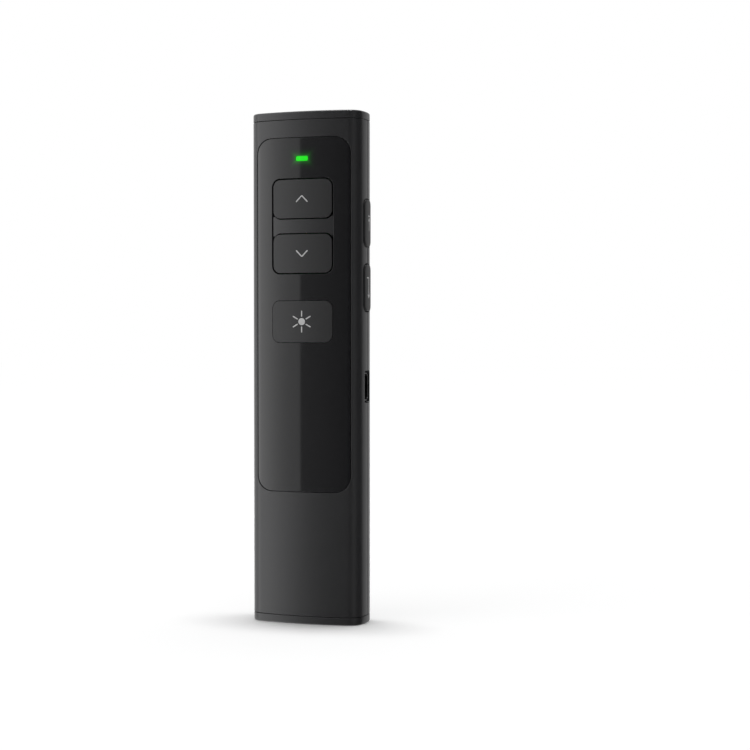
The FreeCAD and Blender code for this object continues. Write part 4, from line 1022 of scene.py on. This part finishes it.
# Circuit board: green solder mask over copper, with steel switches, a black radio chip, a crystal
# can and the lamp soldered to it. Each switch has a black plunger under the key in front of it.
TRACK_HEIGHT = 0.00002
DRAWN_LINES = 0.000003
PLASTIC_GRAIN = 0.000004
EPOXY_GRAIN = 0.00001


def finish_of(name, shader_of):
    material, wire = new_finish(name)
    place = wire.node("ShaderNodeTexCoord", output="Object")
    laid_on(wire, wire.node("ShaderNodeBsdfPrincipled", values=shader_of(wire, place)))
    return material


def worn(name, node_names, shader_of):
    """Gives one finish to solids that keep their own shape."""
    finish = finish_of(name, shader_of)
    for node_name in node_names:
        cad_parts[node_name].material_slots[0].material = finish


def solder_mask(wire, place):
    """Darker copper tracks under the mask, with small bright pads among them."""
    cells = wire.node(
        "ShaderNodeTexVoronoi", {"feature": "DISTANCE_TO_EDGE"}, {"Vector": place, "Scale": 420.0})
    tracks = cells < 0.06
    dots = wire.node("ShaderNodeTexVoronoi", {"feature": "F1"}, {"Vector": place, "Scale": 650.0})
    pads = dots < 0.12
    mask = blended(wire, tracks, (0.012, 0.10, 0.035), (0.03, 0.19, 0.07))
    colour = wire.node("ShaderNodeMix", {"data_type": "RGBA"}, {
        "Factor": pads, 6: mask, 7: (0.75, 0.6, 0.33, 1.0)}, output=2)
    return {"Base Color": colour, "Metallic": pads, "Roughness": 0.32 - pads * 0.08,
            "Normal": raised(wire, tracks + pads, TRACK_HEIGHT)}


def metal(first, second, roughness, scale, along=(1.0, 1.0, 1.0)):
    """Plated metal with fine drawn lines and a slightly uneven tint."""
    def shader_of(wire, place):
        lines = wire.node("ShaderNodeMapping", values={"Vector": place, "Scale": along})
        grain = noise(wire, lines, scale)
        tint = noise(wire, place, 120.0)
        return {"Base Color": blended(wire, tint, first, second), "Metallic": 1.0,
                "Roughness": roughness + grain * 0.12, "Normal": raised(wire, grain, DRAWN_LINES)}
    return shader_of


def solid_plastic(first, second, roughness, scale, depth=PLASTIC_GRAIN):
    def shader_of(wire, place):
        grain = noise(wire, place, scale)
        tint = noise(wire, place, 90.0)
        return {"Base Color": blended(wire, tint, first, second),
                "Roughness": roughness + grain * 0.1, "Normal": raised(wire, grain, depth)}
    return shader_of


worn("solder_mask", ["main_board", "battery_guard_board"], solder_mask)
worn("plated_steel", [
    "page_up_switch", "page_down_switch", "laser_key_switch", "tab_switch", "enter_switch",
    "power_switch_body", "board_screws", "crystal_can",
], metal((0.58, 0.58, 0.57), (0.68, 0.68, 0.69), 0.24, 2500.0, (1.0, 0.1, 0.1)))
worn("black_nylon", [
    "page_up_plunger", "page_down_plunger", "laser_key_plunger", "tab_plunger", "enter_plunger",
    "power_switch_lever", "charge_port_insert",
], solid_plastic((0.014, 0.014, 0.014), (0.022, 0.022, 0.022), 0.42, 3500.0))
worn("chip_epoxy", ["radio_chip"],
     solid_plastic((0.02, 0.02, 0.021), (0.032, 0.032, 0.033), 0.6, 9000.0, EPOXY_GRAIN))
worn("white_plastic", ["status_lamp", "receiver_tongue"],
     solid_plastic((0.74, 0.74, 0.71), (0.8, 0.8, 0.77), 0.4, 3000.0))

# Laser module: a turned brass barrel with the diode at its foot and a lens at its mouth, under a
# tinted window that is held in the top cap.
def glass(tint, roughness):
    def shader_of(wire, place):
        smear = noise(wire, place, 400.0)
        return {"Base Color": blended(wire, smear, tint, [part * 0.96 for part in tint]),
                "Roughness": roughness + smear * 0.02, "Transmission Weight": 1.0, "IOR": 1.5}
    return shader_of


worn("turned_brass", ["laser_barrel", "laser_diode"],
     metal((0.64, 0.44, 0.17), (0.74, 0.53, 0.23), 0.22, 3000.0, (0.1, 0.1, 1.0)))
worn("clear_lens", ["laser_lens"], glass((0.86, 0.9, 0.95), 0.01))
worn("tinted_window", ["laser_window"], glass((0.42, 0.05, 0.06), 0.03))

# Battery: a soft foil pouch held to the board's back by foam tape, with its guard circuit on a
# sliver of green board and two sleeved leads.
CREASE_DEPTH = 0.00012
FOAM_GRAIN = 0.00004


def foil(wire, place):
    creases_and_shade = noise(wire, place, 160.0, 6.0)
    fine = noise(wire, place, 1500.0)
    # The foil's colour follows the creases' bump and is darker where the surface sinks: painted shade in
    # the hollows of the creases.
    return {"Base Color": blended(wire, creases_and_shade, (0.6, 0.61, 0.63), (0.74, 0.75, 0.77)), "Metallic": 1.0,
            "Roughness": 0.28 + fine * 0.14, "Normal": raised(wire, creases_and_shade, CREASE_DEPTH)}


worn("pouch_foil", ["battery_cell"], foil)
worn("foam_tape", ["battery_tape"],
     solid_plastic((0.7, 0.67, 0.57), (0.78, 0.75, 0.65), 0.85, 4000.0, FOAM_GRAIN))
worn("red_sleeve", ["battery_lead_positive"],
     solid_plastic((0.6, 0.03, 0.02), (0.7, 0.05, 0.03), 0.45, 2500.0))
worn("black_sleeve", ["battery_lead_negative"],
     solid_plastic((0.014, 0.014, 0.014), (0.02, 0.02, 0.02), 0.45, 2500.0))

# Charge port: a tube drawn from thin dark steel, square on the board's side and narrowed away from
# it, that stops a little short of the hole in the case. It holds the black insert with its tongue.
SOCKET_HALF = 3.7
SOCKET_NARROW_HALF = 3.0
SOCKET_SHOULDER = 1.8
SOCKET_HEIGHT = 2.8
SOCKET_METAL = 0.3
SOCKET_CORNER = 0.4
SOCKET_EDGE = 0.08
SOCKET_LENGTH = 5.6
SOCKET_RECESS = 0.45
SOCKET_STEPS = 6


def drawn_socket(drawing, inset):
    """The tube's outline, moved in by inset, with the board's side at x = 0."""
    low, high = inset, SOCKET_HEIGHT - inset
    wide, narrow = SOCKET_HALF - inset, SOCKET_NARROW_HALF - inset
    slope = math.degrees(math.atan2(wide - narrow, high - SOCKET_SHOULDER))
    slant = math.hypot(wide - narrow, high - SOCKET_SHOULDER)
    corner = SOCKET_CORNER - inset
    runs = [
        (SOCKET_SHOULDER - low, slope), (slant, 90 - slope), (2 * narrow, 90 - slope), (slant, slope),
        (SOCKET_SHOULDER - low, 90), (2 * wide, 90),
    ]
    pen = Pen(drawing, low + corner, -wide)
    before = 90
    for run, turn in runs:
        pen.go(run - corner * sum(math.tan(math.radians(part / 2)) for part in (before, turn)))
        pen.bend(corner, turn, SOCKET_STEPS)
        before = turn
    return pen.close()


socket_finish = finish_of(
    "dark_nickel", metal((0.05, 0.05, 0.051), (0.08, 0.08, 0.081), 0.3, 2200.0, (0.1, 1.0, 1.0)))
socket = bmesh.new()
outlines = drawn_socket(socket, 0.0) + drawn_socket(socket, SOCKET_METAL)
rounded(socket, filled(socket, outlines), SOCKET_EDGE)
filled(socket, dropped(socket, open_edges(socket), SOCKET_LENGTH))
for vert in socket.verts:
    vert.co = (vert.co.z, vert.co.x, vert.co.y)
moved(socket, (
    HALF_WIDTH - SOCKET_RECESS - SOCKET_EDGE, PORT_Y - SOCKET_HEIGHT / 2, PORT_HEIGHT))
finished(socket, "charge_port_tube", "case", socket_finish, ["charge_port_shell"])

# Receiver: a plug shell of drawn steel set in a moulded black grip, with gold contacts on a white
# tongue. It is parked in the bay of the bottom cap.
worn("drawn_steel", ["receiver_plug_shell"],
     metal((0.6, 0.6, 0.6), (0.7, 0.7, 0.71), 0.2, 2200.0, (1.0, 1.0, 0.1)))
worn("grip_plastic", ["receiver_grip"],
     solid_plastic((0.018, 0.018, 0.019), (0.024, 0.024, 0.025), 0.45, 5200.0))
worn("gold_contacts", ["receiver_contacts"],
     metal((0.86, 0.62, 0.24), (0.92, 0.7, 0.3), 0.18, 2000.0))

# Studio: a white floor and white surroundings, a square lamp at the upper left and an oval one
# high above, and a round screen that shows only in reflections: bright to the left, dark in front
# with a weak stripe at the right, and pale behind.
FLOOR_HALF = 3000.0
FLOOR_COLOUR = (0.9, 0.9, 0.9)
AMBIENT = 0.5
TOP_LAMP_HEIGHT = 900.0
TOP_LAMP_SIZE = (240.0, 110.0)
TOP_LAMP_X = -8.0
TOP_LAMP_Y = 40.0
TOP_LAMP_SHARE = 0.53
LEFT_LAMP_PLACE = (-620.0, -620.0, 620.0)
LEFT_LAMP_SIZE = 700.0
LEFT_LAMP_POWER = 0.9
SCREEN_RADIUS = 300.0
SCREEN_LOW = -500.0
SCREEN_HIGH = 650.0
SCREEN_STEPS = 96
CARD_START = -68.0
CARD_SPLIT = -21.6
CARD_SPREAD = 27.0
CARD_NEAR = 0.9
CARD_RISE = 2.0
FLAG_NEAR = 0.27
FLAG_FADE = 39.0
FLAG_END = 136.0
WING_START = 38.0
WING_END = 70.0
WING = 0.3
PALE = 0.74
PALE_LEFT = 1.15
SCREEN_STRENGTH = 3.0
CAMERA_LENS = 78.116
CAMERA_SENSOR = 36.0
CAMERA_SHIFT = 0.00416
CAMERA_PLACE = (154.128, -406.729, 76.497)
CAMERA_TURN = (88.4607, 0.0, 18.526)
WHITE = (1.0, 1.0, 1.0)


def shown_directly(wire):
    """1 for what the camera, a mirror or clear glass sees, and 0 for light that falls on things."""
    rays = wire.node("ShaderNodeLightPath").socket.node.outputs
    seen = [Wire(wire.tree, rays["Is " + name + " Ray"]) for name in ("Camera", "Glossy", "Transmission")]
    return wire.sum("MINIMUM", seen[0] + seen[1] + seen[2], 1.0)


def staged(drawing, name, finish):
    """Turns a drawing into a piece of the studio."""
    piece = object_of(drawing, name, finish)
    return piece


floor_finish, wire = new_finish("white_floor")
x, y = parts_of(wire, wire.node("ShaderNodeTexCoord", output="Object"), "XY")
x, y = x - TOP_LAMP_X, y - TOP_LAMP_Y
spread = (x * x + y * y) / TOP_LAMP_HEIGHT ** 2 + 1.0
unlit = 1.0 - AMBIENT * FLOOR_COLOUR[0] - TOP_LAMP_SHARE / (spread * spread)
laid_on(wire, wire.node("ShaderNodeBsdfPrincipled", values={
    "Base Color": (*FLOOR_COLOUR, 1.0),
    "Roughness": 1.0,
    "Specular IOR Level": 0.0,
    "Emission Color": blended(wire, unlit, BLACK, WHITE),
    "Emission Strength": shown_directly(wire),
}))
ground = bmesh.new()
bmesh.ops.create_grid(ground, x_segments=1, y_segments=1, size=FLOOR_HALF)
floor = staged(ground, "floor", floor_finish)
floor.visible_glossy = False

screen_finish, wire = new_finish("reflection_screen")
x, y = parts_of(wire, wire.node("ShaderNodeTexCoord", output="Object"), "XY")
azimuth = wire.sum("ARCTAN2", x, 0.0 - y) * (180 / math.pi)
on_card = (azimuth > CARD_START) * (azimuth < CARD_SPLIT)
across = wire.sum("MINIMUM", (CARD_SPLIT - azimuth) / CARD_SPREAD, 1.0)
card = across * across * CARD_RISE + CARD_NEAR
on_flag = (azimuth > CARD_SPLIT) * (azimuth < FLAG_END)
flag = (1.0 - wire.sum("MINIMUM", (azimuth - CARD_SPLIT) / FLAG_FADE, 1.0)) * FLAG_NEAR
on_wing = (azimuth > WING_START) * (azimuth < WING_END)
shade = (on_card * card + on_flag * flag + on_wing * WING + (azimuth > FLAG_END) * PALE
         + (1.0 - (azimuth > CARD_START)) * PALE_LEFT) / SCREEN_STRENGTH
laid_on(wire, wire.node("ShaderNodeBsdfPrincipled", values={
    "Base Color": (*BLACK, 1.0),
    "Specular IOR Level": 0.0,
    "Emission Color": blended(wire, shade, BLACK, WHITE),
    "Emission Strength": SCREEN_STRENGTH,
}))
ring = bmesh.new()
bmesh.ops.create_circle(ring, cap_ends=False, radius=SCREEN_RADIUS, segments=SCREEN_STEPS)
moved(ring, (0, 0, SCREEN_HIGH))
dropped(ring, ring.edges[:], SCREEN_HIGH - SCREEN_LOW)
screen = staged(ring, "reflection_screen", screen_finish)
screen.visible_camera = False
screen.visible_diffuse = False
screen.visible_shadow = False
screen.visible_transmission = False

top_power = TOP_LAMP_SHARE / FLOOR_COLOUR[0] * (math.pi * TOP_LAMP_HEIGHT * MILLIMETRE) ** 2
left_turn = (-Vector(LEFT_LAMP_PLACE)).to_track_quat("-Z", "Y").to_euler()
lamps = [
    ("top_lamp", "ELLIPSE", (TOP_LAMP_X, TOP_LAMP_Y, TOP_LAMP_HEIGHT), (0.0, 0.0, 0.0),
     TOP_LAMP_SIZE, top_power),
    ("left_lamp", "RECTANGLE", LEFT_LAMP_PLACE, left_turn,
     (LEFT_LAMP_SIZE, LEFT_LAMP_SIZE), LEFT_LAMP_POWER),
]
for name, shape, spot, turn, size, power in lamps:
    light = bpy.data.lights.new(name, "AREA")
    light.shape = shape
    light.size, light.size_y = (part * MILLIMETRE for part in size)
    light.energy = power
    lamp = bpy.data.objects.new(name, light)
    lamp.location = Vector(spot) * MILLIMETRE
    lamp.rotation_euler = turn
    bpy.context.scene.collection.objects.link(lamp)

world = bpy.data.worlds.new("studio")
world.use_nodes = True
world.node_tree.nodes.clear()
wire = Wire(world.node_tree)
backdrop = wire.node("ShaderNodeBackground", values={
    "Color": (*WHITE, 1.0), "Strength": shown_directly(wire) * (1.0 - AMBIENT) + AMBIENT})
wire.node("ShaderNodeOutputWorld", values={"Surface": backdrop})
bpy.context.scene.world = world

lens = bpy.data.cameras.new("camera")
lens.lens = CAMERA_LENS
lens.sensor_width = CAMERA_SENSOR
lens.shift_y = CAMERA_SHIFT
camera = bpy.data.objects.new("camera", lens)
camera.location = Vector(CAMERA_PLACE) * MILLIMETRE
camera.rotation_euler = [math.radians(turn) for turn in CAMERA_TURN]
bpy.context.scene.collection.objects.link(camera)
bpy.context.scene.camera = camera
bpy.context.scene.view_settings.view_transform = "Standard"
